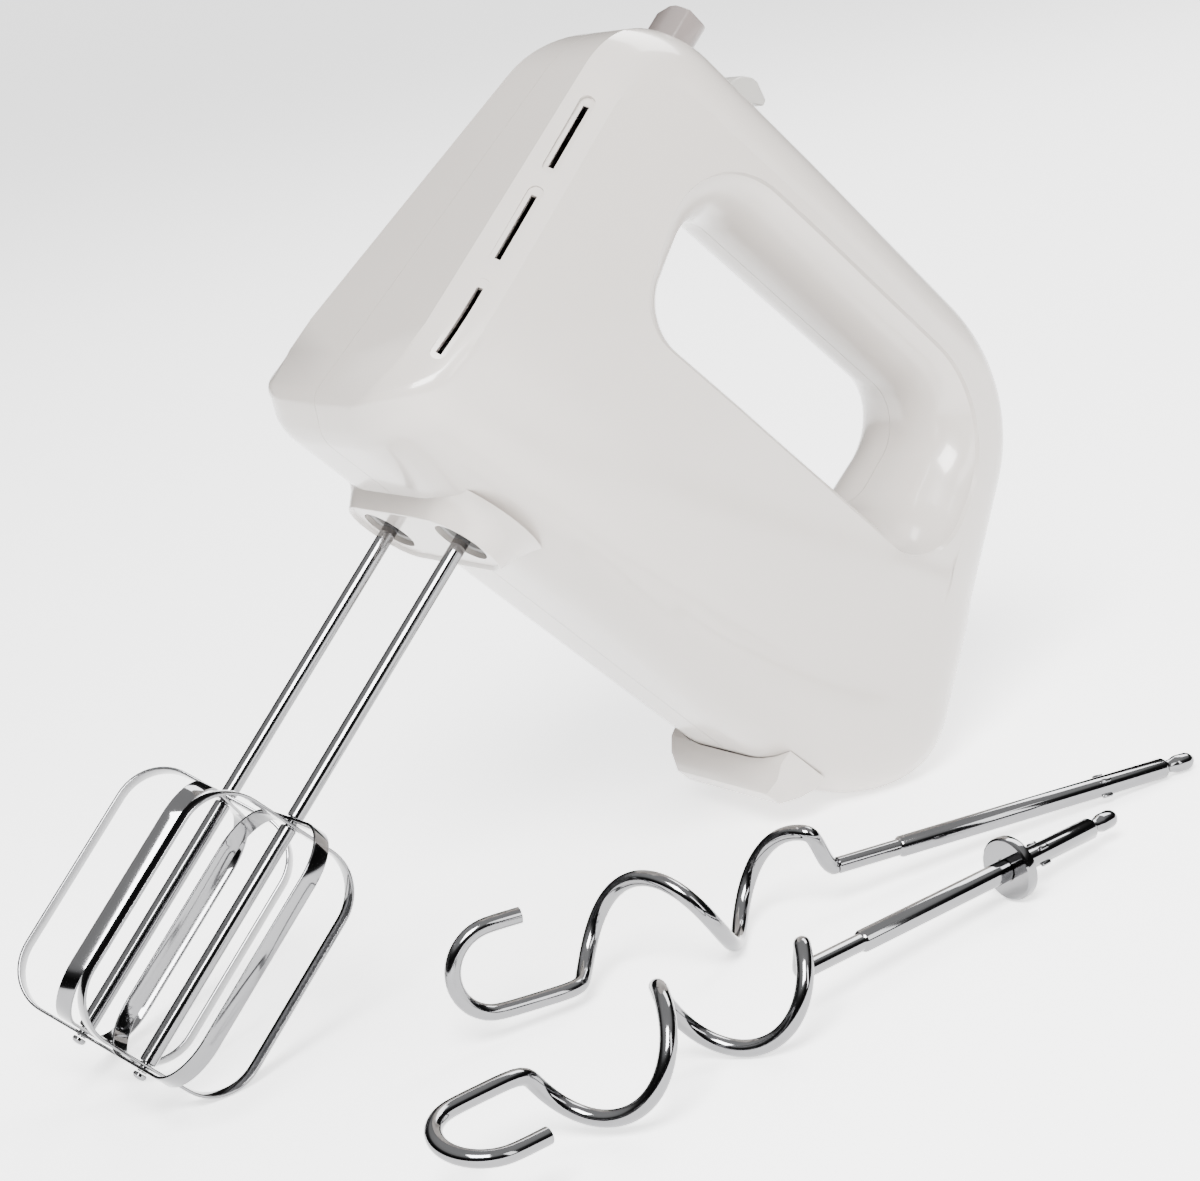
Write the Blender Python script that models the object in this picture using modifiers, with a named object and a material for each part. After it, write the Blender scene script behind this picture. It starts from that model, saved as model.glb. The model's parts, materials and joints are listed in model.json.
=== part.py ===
"""Hand mixer with two wire beaters and two dough hooks, as separate pieces.

The mixer is drawn in its own frame, in millimetres: the origin is the middle of the collar's
lower face, +X is the mixer's left, +Y its rear, and +Z runs up along the beater shafts. An
empty then leans it on its beater tips and its heel, as it is put down on a table. The dough
hooks lie on the table beside it.
"""
import math

import bmesh
import bpy
from mathutils import Matrix, Vector

MM = 0.001
GAP = 0.3                     # clearance between pieces that touch on the real mixer
SEAM = 0.15                   # half of the gap between the two housing halves

# Overall sizes of the body.
BODY_HALF_WIDTH = 41.0
BODY_TOP = 146.0              # crown of the handle
BODY_FLOOR = 4.5              # underside
BODY_FRONT = -46.6            # foot of the front face
BODY_REAR = 161.2             # where the rear face's line meets the underside
FRONT_LEAN = 0.067            # the front face runs back this much for each unit of height
REAR_LEAN = 0.231
TOP_LEAN = 0.026              # the crown falls this much towards the rear
FACET_TOP = 12.0              # the front face stops here, over the sloping facet
FACET_RUN = 8.6
SHOULDER = 40.0               # above this height the sides close in
SIDE_LEAN = 0.186
REAR_TAPER = 0.03
WALL = 2.5

# The outline's corner radii, and how far the rounding of the sides reaches in.
FRONT_TOP_RADIUS = 30.0
REAR_TOP_RADIUS = 46.0
HEEL_RADIUS = 30.0
ROUND_UNDER = 27.0
ROUND_FRONT = 9.0
ROUND_TOE = 17.0
ROUND_TOP = 17.0
ROUND_REAR = 10.0
ROUND_HEEL = 22.0

# Finger opening and the scooped grip around it.
OPENING_FRONT = 10.0
OPENING_REAR = 110.5
OPENING_BOTTOM = 75.0
OPENING_TOP = 113.6
OPENING_RADIUS = 15.0
SCOOP_BREAK = math.radians(22)    # the angle of the crease at the grip's edge
SEAM_LAND = 3.0

# Beaters, spindles and their gears.
SHAFT_SPACING = 36.5
SHAFT_RADIUS = 2.1
SHAFT_INSERT = 34.0           # how far a beater goes up into its spindle
BEATER_REACH = 148.0          # collar face to the lowest loop
LOOP_RADIUS = 25.2
LOOP_HEIGHT = 69.0
LOOP_CORNER = 13.0
STRIP_WIDTH = 4.4
STRIP_THICK = 0.8
NECK_RADIUS = 1.2
LEFT_BEATER_TURN = -4.0
RIGHT_BEATER_TURN = 41.0
SOCKET_RADIUS = 7.5
COLLAR_HALF_LENGTH = 30.0
COLLAR_HALF_WIDTH = 12.0
COLLAR_FLARE = 3.0

WHEEL_TEETH = 24
WORM_STARTS = 2
WHEEL_PITCH_RADIUS = 13.0
TOOTH_TIP = 0.85
TOOTH_ROOT = 1.2
WHEEL_TOOTH = 1.35            # tooth thickness on the pitch circle
WORM_TOOTH = 1.35
WHEEL_WIDTH = 9.0
WORM_HEIGHT = 36.0            # height of the motor's axis
WORM_HALF_LENGTH = 12.0
SPINDLE_RADIUS = 4.5
SPINDLE_FOOT = 12.0
SPINDLE_TOP = 48.0
PLATE_THICK = 3.0
PLATE_HALF_WIDTH = 31.0
PLATE_FRONT = -15.0
BULKHEAD = 18.0
BULKHEAD_THICK = 4.0

# Motor.
MOTOR_SHAFT_RADIUS = 2.5
STACK_FRONT = 50.0
STACK_LENGTH = 20.0
ARMATURE_RADIUS = 12.1
AIR_GAP = 0.5
STATOR_WIDTH = 40.0
STATOR_HEIGHT = 36.0
COMMUTATOR_RADIUS = 6.5
COMMUTATOR_FRONT = 77.0
COMMUTATOR_LENGTH = 9.0
FAN_RADIUS = 17.0
FAN_FRONT = 28.0
REAR_BEARING_AT = 94.0

# Eject button, its fork, and the speed slider.
BUTTON_HALF_WIDTH = 7.5
BUTTON_FRONT = -18.5
BUTTON_REAR = -8.5
BUTTON_TIP = 155.5
BUTTON_FOOT = 134.0
EJECT_TRAVEL = 6.0
FORK_TOP = 64.0
FORK_THICK = 3.0
PRONG_RADIUS = 1.8
SLIDER_FRONT = 4.0
SLIDER_LENGTH = 12.5
SLIDER_HALF_WIDTH = 7.0
SLIDER_HEIGHT = 7.5
SLIDER_TRAVEL = 12.0
STEM_HALF_WIDTH = 2.2

# Vents: three slots in each front chamfer.
VENT_LENGTH = 20.0
VENT_PITCH = 28.8
VENT_LOWEST = 40.0
VENT_WIDTH = 1.6

# Heel ledge and cord inlet.
LEDGE_HALF_WIDTH = 26.0
LEDGE_FRONT = 113.0
LEDGE_LENGTH = 14.0
LEDGE_DEPTH = 8.0
INLET_HEIGHT = 56.0
INLET_RADIUS = 5.5

# Dough hooks.
HOOK_SLEEVE_RADIUS = 2.7
HOOK_SHAFT_LENGTH = 105.0
HOOK_TIP_RADIUS = 2.3
HOOK_WIRE_RADIUS = 2.0
HOOK_COIL_RADIUS = 11.0
HOOK_TURN_AT = 91.0
HOOK_RETURN = 8.0
HOOK_DISC_RADIUS = 8.0
HOOK_DISC_AT = 36.0           # from the tip
HOOK_DISC_THICK = 3.0

WARM_WHITE = (0.80, 0.775, 0.745)
GREY_MAUVE = (0.46, 0.42, 0.40)
LIGHT_GREY = (0.70, 0.69, 0.67)
CHROME = (0.78, 0.78, 0.79)
STEEL = (0.55, 0.56, 0.58)
NYLON = (0.86, 0.85, 0.80)
COPPER = (0.62, 0.30, 0.16)
BLACK = (0.03, 0.03, 0.035)
BRONZE = (0.55, 0.40, 0.20)
BOARD = (0.10, 0.28, 0.14)

WORM_PITCH_RADIUS = SHAFT_SPACING / 2 - WHEEL_PITCH_RADIUS
TOOTH_PITCH = 2 * math.pi * WHEEL_PITCH_RADIUS / WHEEL_TEETH
WORM_LEAD = WORM_STARTS * TOOTH_PITCH
SIDES = (("left", 1), ("right", -1))


def clear_scene():
    for old in list(bpy.data.objects):
        bpy.data.objects.remove(old, do_unlink=True)


def new_collection(name):
    found = bpy.data.collections.new(name)
    bpy.context.scene.collection.children.link(found)
    return found


clear_scene()
PARTS = new_collection("hand_mixer")
CUTTERS = new_collection("cutters")
MIXER = bpy.data.objects.new("mixer_frame", None)
TABLE = bpy.data.objects.new("table_frame", None)
for frame_empty in (MIXER, TABLE):
    PARTS.objects.link(frame_empty)


# ---------------------------------------------------------------- helpers

def material(name, color, roughness, metallic=0.0):
    found = bpy.data.materials.new(name)
    found.use_nodes = True
    shader = found.node_tree.nodes["Principled BSDF"]
    shader.inputs["Base Color"].default_value = (*color, 1.0)
    shader.inputs["Roughness"].default_value = roughness
    shader.inputs["Metallic"].default_value = metallic
    return found


def to_object(bm, name, frame=MIXER):
    """Turn a bmesh drawn in millimetres into an object under one of the frames."""
    bmesh.ops.scale(bm, vec=(MM, MM, MM), verts=bm.verts)
    mesh = bpy.data.meshes.new(name)
    bm.to_mesh(mesh)
    bm.free()
    made = bpy.data.objects.new(name, mesh)
    PARTS.objects.link(made)
    made.parent = frame
    return made


def finish(made, color, roughness, metallic=0.0, smooth=True):
    made.data.materials.clear()
    made.data.materials.append(material(made.name + "_finish", color, roughness, metallic))
    if smooth:
        made.data.shade_smooth()
        made.data.set_sharp_from_angle(angle=math.radians(35))
    return made


def as_cutter(made):
    PARTS.objects.unlink(made)
    CUTTERS.objects.link(made)
    made.hide_render = True
    made.display_type = "WIRE"
    return made


def boolean(target, tool, operation="DIFFERENCE"):
    step = target.modifiers.new(operation.title(), "BOOLEAN")
    step.operation = operation
    step.solver = "EXACT"
    step.object = as_cutter(tool)
    return target


def box(name, low, high, frame=MIXER):
    bm = bmesh.new()
    bmesh.ops.create_cube(bm, size=1.0)
    size = [b - a for a, b in zip(low, high)]
    middle = [(a + b) / 2 for a, b in zip(low, high)]
    bmesh.ops.scale(bm, vec=size, verts=bm.verts)
    bmesh.ops.translate(bm, vec=middle, verts=bm.verts)
    return to_object(bm, name, frame)


AXIS_TURN = {
    "X": Matrix.Rotation(math.pi / 2, 3, "Y"),
    "Y": Matrix.Rotation(-math.pi / 2, 3, "X"),
    "Z": Matrix.Identity(3),
}


def rod(name, radius, start, end, at, axis="Z", sides=20, frame=MIXER, tip_radius=None):
    """A cylinder or cone along one axis; 'at' is its place on the other two."""
    bm = bmesh.new()
    bmesh.ops.create_cone(bm, cap_ends=True, segments=sides, radius1=radius,
                          radius2=radius if tip_radius is None else tip_radius, depth=end - start)
    bmesh.ops.rotate(bm, cent=(0, 0, 0), matrix=AXIS_TURN[axis], verts=bm.verts)
    middle = (start + end) / 2
    place = {"X": (middle, *at), "Y": (at[0], middle, at[1]), "Z": (*at, middle)}[axis]
    bmesh.ops.translate(bm, vec=place, verts=bm.verts)
    return to_object(bm, name, frame)


def turned(name, profile, at=(0.0, 0.0, 0.0), axis="Z", sides=20, frame=MIXER):
    """Turn a closed (radius, height) outline around an axis through 'at'.

    The outline starts on the outside and runs down it."""
    bm = bmesh.new()
    ring = [bm.verts.new((radius, 0, height)) for radius, height in profile]
    closed = all(radius > 0 for radius, height in profile)
    edges = [bm.edges.new(pair) for pair in zip(ring, ring[1:])]
    if closed:
        edges.append(bm.edges.new((ring[-1], ring[0])))
    bmesh.ops.spin(bm, geom=ring + edges, cent=(0, 0, 0), axis=(0, 0, 1), angle=2 * math.pi,
                   steps=sides, use_merge=True)
    bmesh.ops.remove_doubles(bm, verts=bm.verts, dist=0.0001)
    bmesh.ops.recalc_face_normals(bm, faces=bm.faces)
    bmesh.ops.rotate(bm, cent=(0, 0, 0), matrix=AXIS_TURN[axis], verts=bm.verts)
    bmesh.ops.translate(bm, vec=at, verts=bm.verts)
    return to_object(bm, name, frame)


def tube(name, outer, inner, start, end, at, axis="Z", sides=20, frame=MIXER):
    """A plain ring or sleeve along one axis."""
    place = {"X": (0, *at), "Y": (at[0], 0, at[1]), "Z": (*at, 0)}[axis]
    profile = [(outer, end), (outer, start), (inner, start), (inner, end)]
    return turned(name, profile, place, axis, sides, frame)


def prism(name, outline, start, end, axis="X", frame=MIXER):
    """Extrude a closed outline along one axis. The outline's two numbers are the other axes."""
    bm = bmesh.new()
    place = {"X": lambda a, b: (start, a, b), "Y": lambda a, b: (a, start, b),
             "Z": lambda a, b: (a, b, start)}[axis]
    face = bm.faces.new([bm.verts.new(place(a, b)) for a, b in outline])
    shift = {"X": (end - start, 0, 0), "Y": (0, end - start, 0), "Z": (0, 0, end - start)}[axis]
    grown = bmesh.ops.extrude_face_region(bm, geom=[face])
    moved = [item for item in grown["geom"] if isinstance(item, bmesh.types.BMVert)]
    bmesh.ops.translate(bm, vec=shift, verts=moved)
    bmesh.ops.recalc_face_normals(bm, faces=bm.faces)
    return to_object(bm, name, frame)


def fillet(corners, radii, steps):
    """Round the corners of a closed outline. Each corner gives steps[i] + 1 points."""
    points = []
    count = len(corners)
    for i, corner in enumerate(corners):
        here = Vector(corner)
        back = (Vector(corners[i - 1]) - here).normalized()
        ahead = (Vector(corners[(i + 1) % count]) - here).normalized()
        half = back.angle(ahead) / 2
        centre = here + (back + ahead).normalized() * radii[i] / math.sin(half)
        first = here + back * radii[i] / math.tan(half) - centre
        last = here + ahead * radii[i] / math.tan(half) - centre
        sweep = first.angle_signed(last)
        for k in range(steps[i] + 1):
            turn = Matrix.Rotation(-sweep * k / steps[i], 2)
            points.append(centre + turn @ first)
    return points


def spread(points, breaks, between):
    """Add 'between' even points on each straight run that follows the point indices in breaks."""
    out = []
    count = len(points)
    for i, point in enumerate(points):
        out.append(point)
        if i in breaks:
            after = points[(i + 1) % count]
            out += [point.lerp(after, (k + 1) / (between + 1)) for k in range(between)]
    return out


# ---------------------------------------------------------------- housing

CORNER_STEPS = 6
EDGE_POINTS = 3
ROUND_STEPS = 4
SIDE_RINGS = 2
SCOOP_STEPS = 4


def front_line(height):
    return BODY_FRONT + FRONT_LEAN * (height - FACET_TOP)


def rear_line(height):
    return BODY_REAR - REAR_LEAN * (height - BODY_FLOOR)


def top_line(y):
    return BODY_TOP - TOP_LEAN * (y - BODY_FRONT)


def side_width(y, z):
    """Half width of the body's side at a place in the side view."""
    narrowing = SIDE_LEAN * max(0.0, z - SHOULDER) + REAR_TAPER * max(0.0, y - SHOULDER)
    return BODY_HALF_WIDTH - narrowing


def spread_quad(points):
    corner = CORNER_STEPS + 1
    return spread(points, [corner - 1, 2 * corner - 1, 3 * corner - 1, 4 * corner - 1], EDGE_POINTS)


def rounded_quad(corners, radii):
    return spread_quad(fillet(corners, radii, [CORNER_STEPS] * 4))


def body_outline():
    """The body in side view, as (y, z), from the facet under the front face, round the rear."""
    corners = [(BODY_FRONT, FACET_TOP), (BODY_FRONT + FACET_RUN, BODY_FLOOR), (BODY_REAR, BODY_FLOOR),
               (rear_line(top_line(125)), top_line(125)), (front_line(BODY_TOP), BODY_TOP)]
    radii = [7.0, 9.0, HEEL_RADIUS, REAR_TOP_RADIUS, FRONT_TOP_RADIUS]
    half = CORNER_STEPS // 2
    return spread_quad(fillet(corners, radii, [half - 1, half, CORNER_STEPS, CORNER_STEPS, CORNER_STEPS]))


def flat_outline():
    """Where the rounding ends and the flat of the side begins."""
    toe, heel = BODY_FLOOR + ROUND_TOE, BODY_FLOOR + ROUND_UNDER
    high = BODY_TOP - ROUND_TOP
    corners = [(front_line(toe) + ROUND_FRONT, toe), (rear_line(heel) - ROUND_HEEL, heel),
               (rear_line(high) - ROUND_REAR, high), (front_line(high) + ROUND_FRONT, high)]
    return rounded_quad(corners, [9.0, 16.0, 22.0, 20.0])


def scoop_outline():
    """The edge of the scooped grip on the body's side, as (y, z)."""
    low, high = OPENING_BOTTOM - 6.0, OPENING_TOP + 12.0
    front, rear = OPENING_FRONT - 8.0, OPENING_REAR + 14.0
    corners = [(front, low), (rear, low), (rear + 0.5, high), (front - 8.0, high)]
    return rounded_quad(corners, [14.0, 20.0, 32.0, 26.0])


def opening_outline():
    front, rear, low, high = OPENING_FRONT, OPENING_REAR, OPENING_BOTTOM, OPENING_TOP
    return rounded_quad([(front, low), (rear, low), (rear, high), (front, high)], [OPENING_RADIUS] * 4)


def rounding_depths(outline):
    """How far in from the side the rounding starts at each outline point, by which way it faces."""
    depths = []
    count = len(outline)
    for i in range(count):
        along = (outline[(i + 1) % count] - outline[i - 1]).normalized()
        under, rear = max(0.0, along.x) ** 2, max(0.0, along.y) ** 2
        top, front = max(0.0, -along.x) ** 2, max(0.0, -along.y) ** 2
        depths.append(ROUND_UNDER * under + ROUND_REAR * rear + ROUND_TOP * top + ROUND_FRONT * front)
    return depths


def skin_rings():
    """Rings of (x, y, z) over half of the body: from the seam, over the side, to the opening's seam."""
    outer, flat, scoop, opening = body_outline(), flat_outline(), scoop_outline(), opening_outline()
    depths = rounding_depths(outer)
    rings = [[(SEAM, p.x, p.y) for p in outer], [(SEAM_LAND, p.x, p.y) for p in outer]]
    for k in range(ROUND_STEPS + 1):
        swing = math.pi / 2 * k / ROUND_STEPS
        ring = []
        for rim, inner, deep in zip(outer, flat, depths):
            place = rim.lerp(inner, 1 - math.cos(swing))
            ring.append((side_width(inner.x, inner.y) - deep * (1 - math.sin(swing)), place.x, place.y))
        rings.append(ring)
    for k in range(SIDE_RINGS):
        places = [a.lerp(b, (k + 1) / (SIDE_RINGS + 1)) for a, b in zip(flat, scoop)]
        rings.append([(side_width(p.x, p.y), p.x, p.y) for p in places])
    rings.append([(side_width(p.x, p.y), p.x, p.y) for p in scoop])
    for k in range(1, SCOOP_STEPS + 1):
        swing = SCOOP_BREAK + (math.pi / 2 - SCOOP_BREAK) * k / SCOOP_STEPS
        across = (math.sin(swing) - math.sin(SCOOP_BREAK)) / (1 - math.sin(SCOOP_BREAK))
        ring = []
        for rim, hole in zip(scoop, opening):
            place = rim.lerp(hole, across)
            span = side_width(rim.x, rim.y) - SEAM_LAND
            ring.append((SEAM_LAND + span * math.cos(swing) / math.cos(SCOOP_BREAK), place.x, place.y))
        rings.append(ring)
    rings.append([(SEAM, p.x, p.y) for p in opening])
    return rings


def housing_half(name, side):
    """One moulded half: an open skin over the rings, thickened inwards."""
    bm = bmesh.new()
    rings = [[bm.verts.new((side * x, y, z)) for x, y, z in ring] for ring in skin_rings()]
    for first, second in zip(rings, rings[1:]):
        count = len(first)
        for i in range(count):
            j = (i + 1) % count
            bm.faces.new((first[i], first[j], second[j], second[i]))
    # as listed, the left half's faces point out and the right half's point in
    if side < 0:
        bmesh.ops.reverse_faces(bm, faces=bm.faces)
    half = to_object(bm, name)
    shell = half.modifiers.new("Wall", "SOLIDIFY")
    shell.thickness = WALL * MM
    shell.offset = -1.0
    shell.use_even_offset = False
    return half


def stadium(half_length, half_width, steps=8):
    """An oval with straight long sides, as (x, y)."""
    run = half_length - half_width
    points = []
    for end in (1, -1):
        for k in range(steps + 1):
            angle = -math.pi / 2 + math.pi * k / steps
            points.append((end * (run + half_width * math.cos(angle)), end * half_width * math.sin(angle)))
    return points


def collar_block(name, side):
    """Half of the flared oval collar under the body, reaching up into its wall."""
    top = BODY_FLOOR + WALL + 1.0
    low = stadium(COLLAR_HALF_LENGTH, COLLAR_HALF_WIDTH)
    high = stadium(COLLAR_HALF_LENGTH + COLLAR_FLARE, COLLAR_HALF_WIDTH + COLLAR_FLARE)
    bm = bmesh.new()
    rings = [[bm.verts.new((x, y, z)) for x, y in ring] for ring, z in ((low, 0.0), (high, top))]
    loops = []
    for ring in rings:
        count = len(ring)
        loops.append([bm.edges.new((ring[i], ring[(i + 1) % count])) for i in range(count)])
    bmesh.ops.bridge_loops(bm, edges=loops[0] + loops[1])
    for ring in rings:
        bm.faces.new(ring)
    bmesh.ops.bisect_plane(bm, geom=bm.verts[:] + bm.edges[:] + bm.faces[:], plane_co=(side * SEAM, 0, 0),
                           plane_no=(-side, 0, 0), clear_outer=True)
    edge = [e for e in bm.edges if e.is_boundary]
    bmesh.ops.contextual_create(bm, geom=edge)
    bmesh.ops.recalc_face_normals(bm, faces=bm.faces)
    return to_object(bm, name)


def screw_places():
    """Where the housing screws sit, as (y, z) in the side view."""
    return [(BODY_FRONT + 15.5, 20.0), (front_line(OPENING_TOP) + 11.0, OPENING_TOP - 2.0),
            (BODY_REAR - 32.0, BODY_FLOOR + 22.0), (OPENING_REAR + 15.5, OPENING_TOP - 6.0)]


SCREW_HEAD_RADIUS = 3.0
SCREW_RADIUS = 1.5
BOSS_RADIUS = 3.9
SCREW_POCKET = 9.0            # how deep the heads sit in the right half


def add_bosses(half, side):
    """Screw posts from the seam to the wall. The right half's are open for the screws."""
    for number, (y, z) in enumerate(screw_places(), 1):
        ends = sorted((side * SEAM, side * (side_width(y, z) - WALL / 2)))
        boolean(half, rod(f"{half.name}_post_{number}", BOSS_RADIUS, *ends, (y, z), "X", 12), "UNION")
    for number, (y, z) in enumerate(screw_places(), 1):
        wall = side_width(y, z)
        if side > 0:
            hole = rod(f"{half.name}_pilot_{number}", SCREW_RADIUS + GAP, -1, wall * 0.45, (y, z), "X", 12)
        else:
            hole = rod(f"{half.name}_pass_{number}", SCREW_RADIUS + GAP, -wall, 1, (y, z), "X", 12)
            pocket = rod(f"{half.name}_pocket_{number}", SCREW_HEAD_RADIUS + GAP, -wall - 5,
                         -wall + SCREW_POCKET, (y, z), "X", 12)
            boolean(half, pocket)
        boolean(half, hole)


def vent_cutter(name, side, number):
    """A slot through the front chamfer, along the front face's lean."""
    middle = VENT_LOWEST + number * VENT_PITCH
    bm = bmesh.new()
    bmesh.ops.create_cube(bm, size=1.0)
    bmesh.ops.scale(bm, vec=(VENT_WIDTH, 14.0, VENT_LENGTH), verts=bm.verts)
    bmesh.ops.rotate(bm, cent=(0, 0, 0), matrix=Matrix.Rotation(side * math.pi / 4, 3, "Z"), verts=bm.verts)
    inward_lean = SIDE_LEAN if middle > SHOULDER else 0.0
    tilt = Matrix.Rotation(-side * math.atan(inward_lean), 3, "Y") @ Matrix.Rotation(
        -math.atan(FRONT_LEAN), 3, "X")
    bmesh.ops.rotate(bm, cent=(0, 0, 0), matrix=tilt, verts=bm.verts)
    chamfer = ROUND_FRONT * (1 - math.cos(math.pi / 4))
    x = side * (side_width(BODY_FRONT, middle) - chamfer)
    bmesh.ops.translate(bm, vec=(x, front_line(middle) + chamfer, middle), verts=bm.verts)
    return to_object(bm, name)


def cut_openings(half, side):
    """The sockets, vents, button and slider slots and the cord's hole."""
    tag = half.name
    spindle_at = (side * SHAFT_SPACING / 2, 0)
    boolean(half, rod(tag + "_socket", SOCKET_RADIUS, -2, BODY_FLOOR + WALL + 4, spindle_at, sides=24))
    for number in range(3):
        boolean(half, vent_cutter(f"{tag}_vent_{number + 1}", side, number))
    wide = BUTTON_HALF_WIDTH + GAP
    boolean(half, box(tag + "_button_hole", (-wide, BUTTON_FRONT - GAP, BUTTON_FOOT - 8),
                      (wide, BUTTON_REAR + GAP, BUTTON_TIP + 5)))
    wide = STEM_HALF_WIDTH + GAP
    boolean(half, box(tag + "_slider_slot", (-wide, SLIDER_FRONT + 3 - GAP, BODY_TOP - 8),
                      (wide, SLIDER_FRONT + 9 + SLIDER_TRAVEL + GAP, BODY_TOP + 5)))
    boolean(half, rod(tag + "_cord_hole", INLET_RADIUS, rear_line(INLET_HEIGHT) - 12,
                      rear_line(INLET_HEIGHT) + 8, (0, INLET_HEIGHT), "Y", 20))


def make_housing():
    for word, side in SIDES:
        half = housing_half(word + "_housing", side)
        boolean(half, collar_block(word + "_collar", side), "UNION")
        add_bosses(half, side)
        cut_openings(half, side)
        finish(half, WARM_WHITE, 0.22)


def make_screws():
    """Housing screws, put in from the right."""
    for number, (y, z) in enumerate(screw_places(), 1):
        wall = side_width(y, z)
        seat = -wall + SCREW_POCKET - GAP
        tip = wall * 0.45 - 1.0
        profile = [(SCREW_RADIUS, tip), (SCREW_RADIUS, seat), (SCREW_HEAD_RADIUS, seat),
                   (SCREW_HEAD_RADIUS, seat - 2.2), (0, seat - 2.2)]
        screw = turned(f"housing_screw_{number}", [(0, tip)] + profile, (0, y, z), "X", 12)
        finish(screw, STEEL, 0.35, 1.0)


def underside(y, clear, swings):
    """Points (x, z) around the body's underside at y, held off it by a clearance, at the given swings."""
    flat = side_width(y, BODY_FLOOR) - ROUND_UNDER
    reach = ROUND_UNDER + clear
    centre = BODY_FLOOR + ROUND_UNDER
    return [(flat + reach * math.sin(t), centre - reach * math.cos(t)) for t in swings]


def make_heel_ledge():
    """The cross ledge under the heel: its top follows the underside and its front and back slope."""
    foot = BODY_FLOOR - LEDGE_DEPTH
    swings = [math.radians(angle) for angle in (0, 11, 22, 33)]
    curve = underside(LEDGE_FRONT, GAP + 0.1, swings)
    half = [(LEDGE_HALF_WIDTH - 5, foot), (LEDGE_HALF_WIDTH - 1, foot + 4)] + curve[::-1]
    outline = half + [(-x, z) for x, z in reversed(half)]
    ledge = prism("heel_ledge", outline, LEDGE_FRONT, LEDGE_FRONT + LEDGE_LENGTH, "Y")
    bm = bmesh.new()
    bm.from_mesh(ledge.data)
    for at, slope in ((LEDGE_FRONT, -1), (LEDGE_FRONT + LEDGE_LENGTH, 1)):
        bmesh.ops.bisect_plane(bm, geom=bm.verts[:] + bm.edges[:] + bm.faces[:], clear_outer=True,
                               plane_co=(0, at * MM, BODY_FLOOR * MM), plane_no=(0, slope, -0.55))
        bmesh.ops.contextual_create(bm, geom=[e for e in bm.edges if e.is_boundary])
    bmesh.ops.recalc_face_normals(bm, faces=bm.faces)
    bm.to_mesh(ledge.data)
    bm.free()
    finish(ledge, WARM_WHITE, 0.25)


def make_inlet():
    """A blanked bush, flush in the rear wall, where the mains lead would come in."""
    face = rear_line(INLET_HEIGHT)
    profile = [(0, -1.6), (3.2, -1.6), (3.6, -0.4), (INLET_RADIUS - GAP, -0.6), (INLET_RADIUS - GAP, -8), (0, -8)]
    bush = turned("cord_inlet_bush", profile, (0, face, INLET_HEIGHT), "Y", 20)
    finish(bush, BLACK, 0.6)


def make_socket_liners():
    for word, side in SIDES:
        liner = tube(word + "_socket_liner", SOCKET_RADIUS - GAP, SPINDLE_RADIUS + 0.8, 2.0,
                     BODY_FLOOR + WALL + 3, (side * SHAFT_SPACING / 2, 0), sides=24)
        finish(liner, LIGHT_GREY, 0.4)


# ---------------------------------------------------------------- gears

def wheel_outline():
    """One turn of straight-sided teeth, with a gap on the +X and -X sides."""
    root = WHEEL_PITCH_RADIUS - TOOTH_ROOT
    tip = WHEEL_PITCH_RADIUS + TOOTH_TIP
    flank = math.tan(math.radians(20))
    points = []
    for tooth in range(WHEEL_TEETH):
        middle = 2 * math.pi * (tooth + 0.5) / WHEEL_TEETH
        at_root = (WHEEL_TOOTH / 2 + TOOTH_ROOT * flank) / root
        at_tip = (WHEEL_TOOTH / 2 - TOOTH_TIP * flank) / tip
        for radius, angle in ((root, -at_root), (tip, -at_tip), (tip, at_tip), (root, at_root)):
            points.append((radius * math.cos(middle + angle), radius * math.sin(middle + angle)))
    return points


def worm_wheel(name, side):
    """A helical gear: its outline is extruded in turning steps."""
    layers = 4
    twist = WORM_LEAD / (2 * math.pi * WORM_PITCH_RADIUS) / WHEEL_PITCH_RADIUS
    low = -WHEEL_WIDTH / 2
    bm = bmesh.new()
    face = bm.faces.new([bm.verts.new((x, y, 0)) for x, y in wheel_outline()])
    bmesh.ops.rotate(bm, cent=(0, 0, 0), matrix=Matrix.Rotation(twist * low, 3, "Z"), verts=bm.verts)
    bmesh.ops.translate(bm, vec=(0, 0, low), verts=bm.verts)
    for _ in range(layers):
        grown = bmesh.ops.extrude_face_region(bm, geom=[face])["geom"]
        moved = [item for item in grown if isinstance(item, bmesh.types.BMVert)]
        face = [item for item in grown if isinstance(item, bmesh.types.BMFace)][0]
        step = WHEEL_WIDTH / layers
        bmesh.ops.translate(bm, vec=(0, 0, step), verts=moved)
        bmesh.ops.rotate(bm, cent=(0, 0, 0), matrix=Matrix.Rotation(twist * step, 3, "Z"), verts=moved)
    caps = [f for f in bm.faces if abs(f.normal.z) > 0.99 and abs(abs(f.calc_center_median().z) + low) > 0.01]
    bmesh.ops.delete(bm, geom=caps, context="FACES_ONLY")
    bmesh.ops.recalc_face_normals(bm, faces=bm.faces)
    bmesh.ops.translate(bm, vec=(side * SHAFT_SPACING / 2, 0, WORM_HEIGHT), verts=bm.verts)
    wheel = to_object(bm, name)
    bore = rod(name + "_bore", SPINDLE_RADIUS + GAP, WORM_HEIGHT - WHEEL_WIDTH, WORM_HEIGHT + WHEEL_WIDTH,
               (side * SHAFT_SPACING / 2, 0), sides=16)
    boolean(wheel, bore)
    return finish(wheel, NYLON, 0.45, smooth=False)


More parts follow.
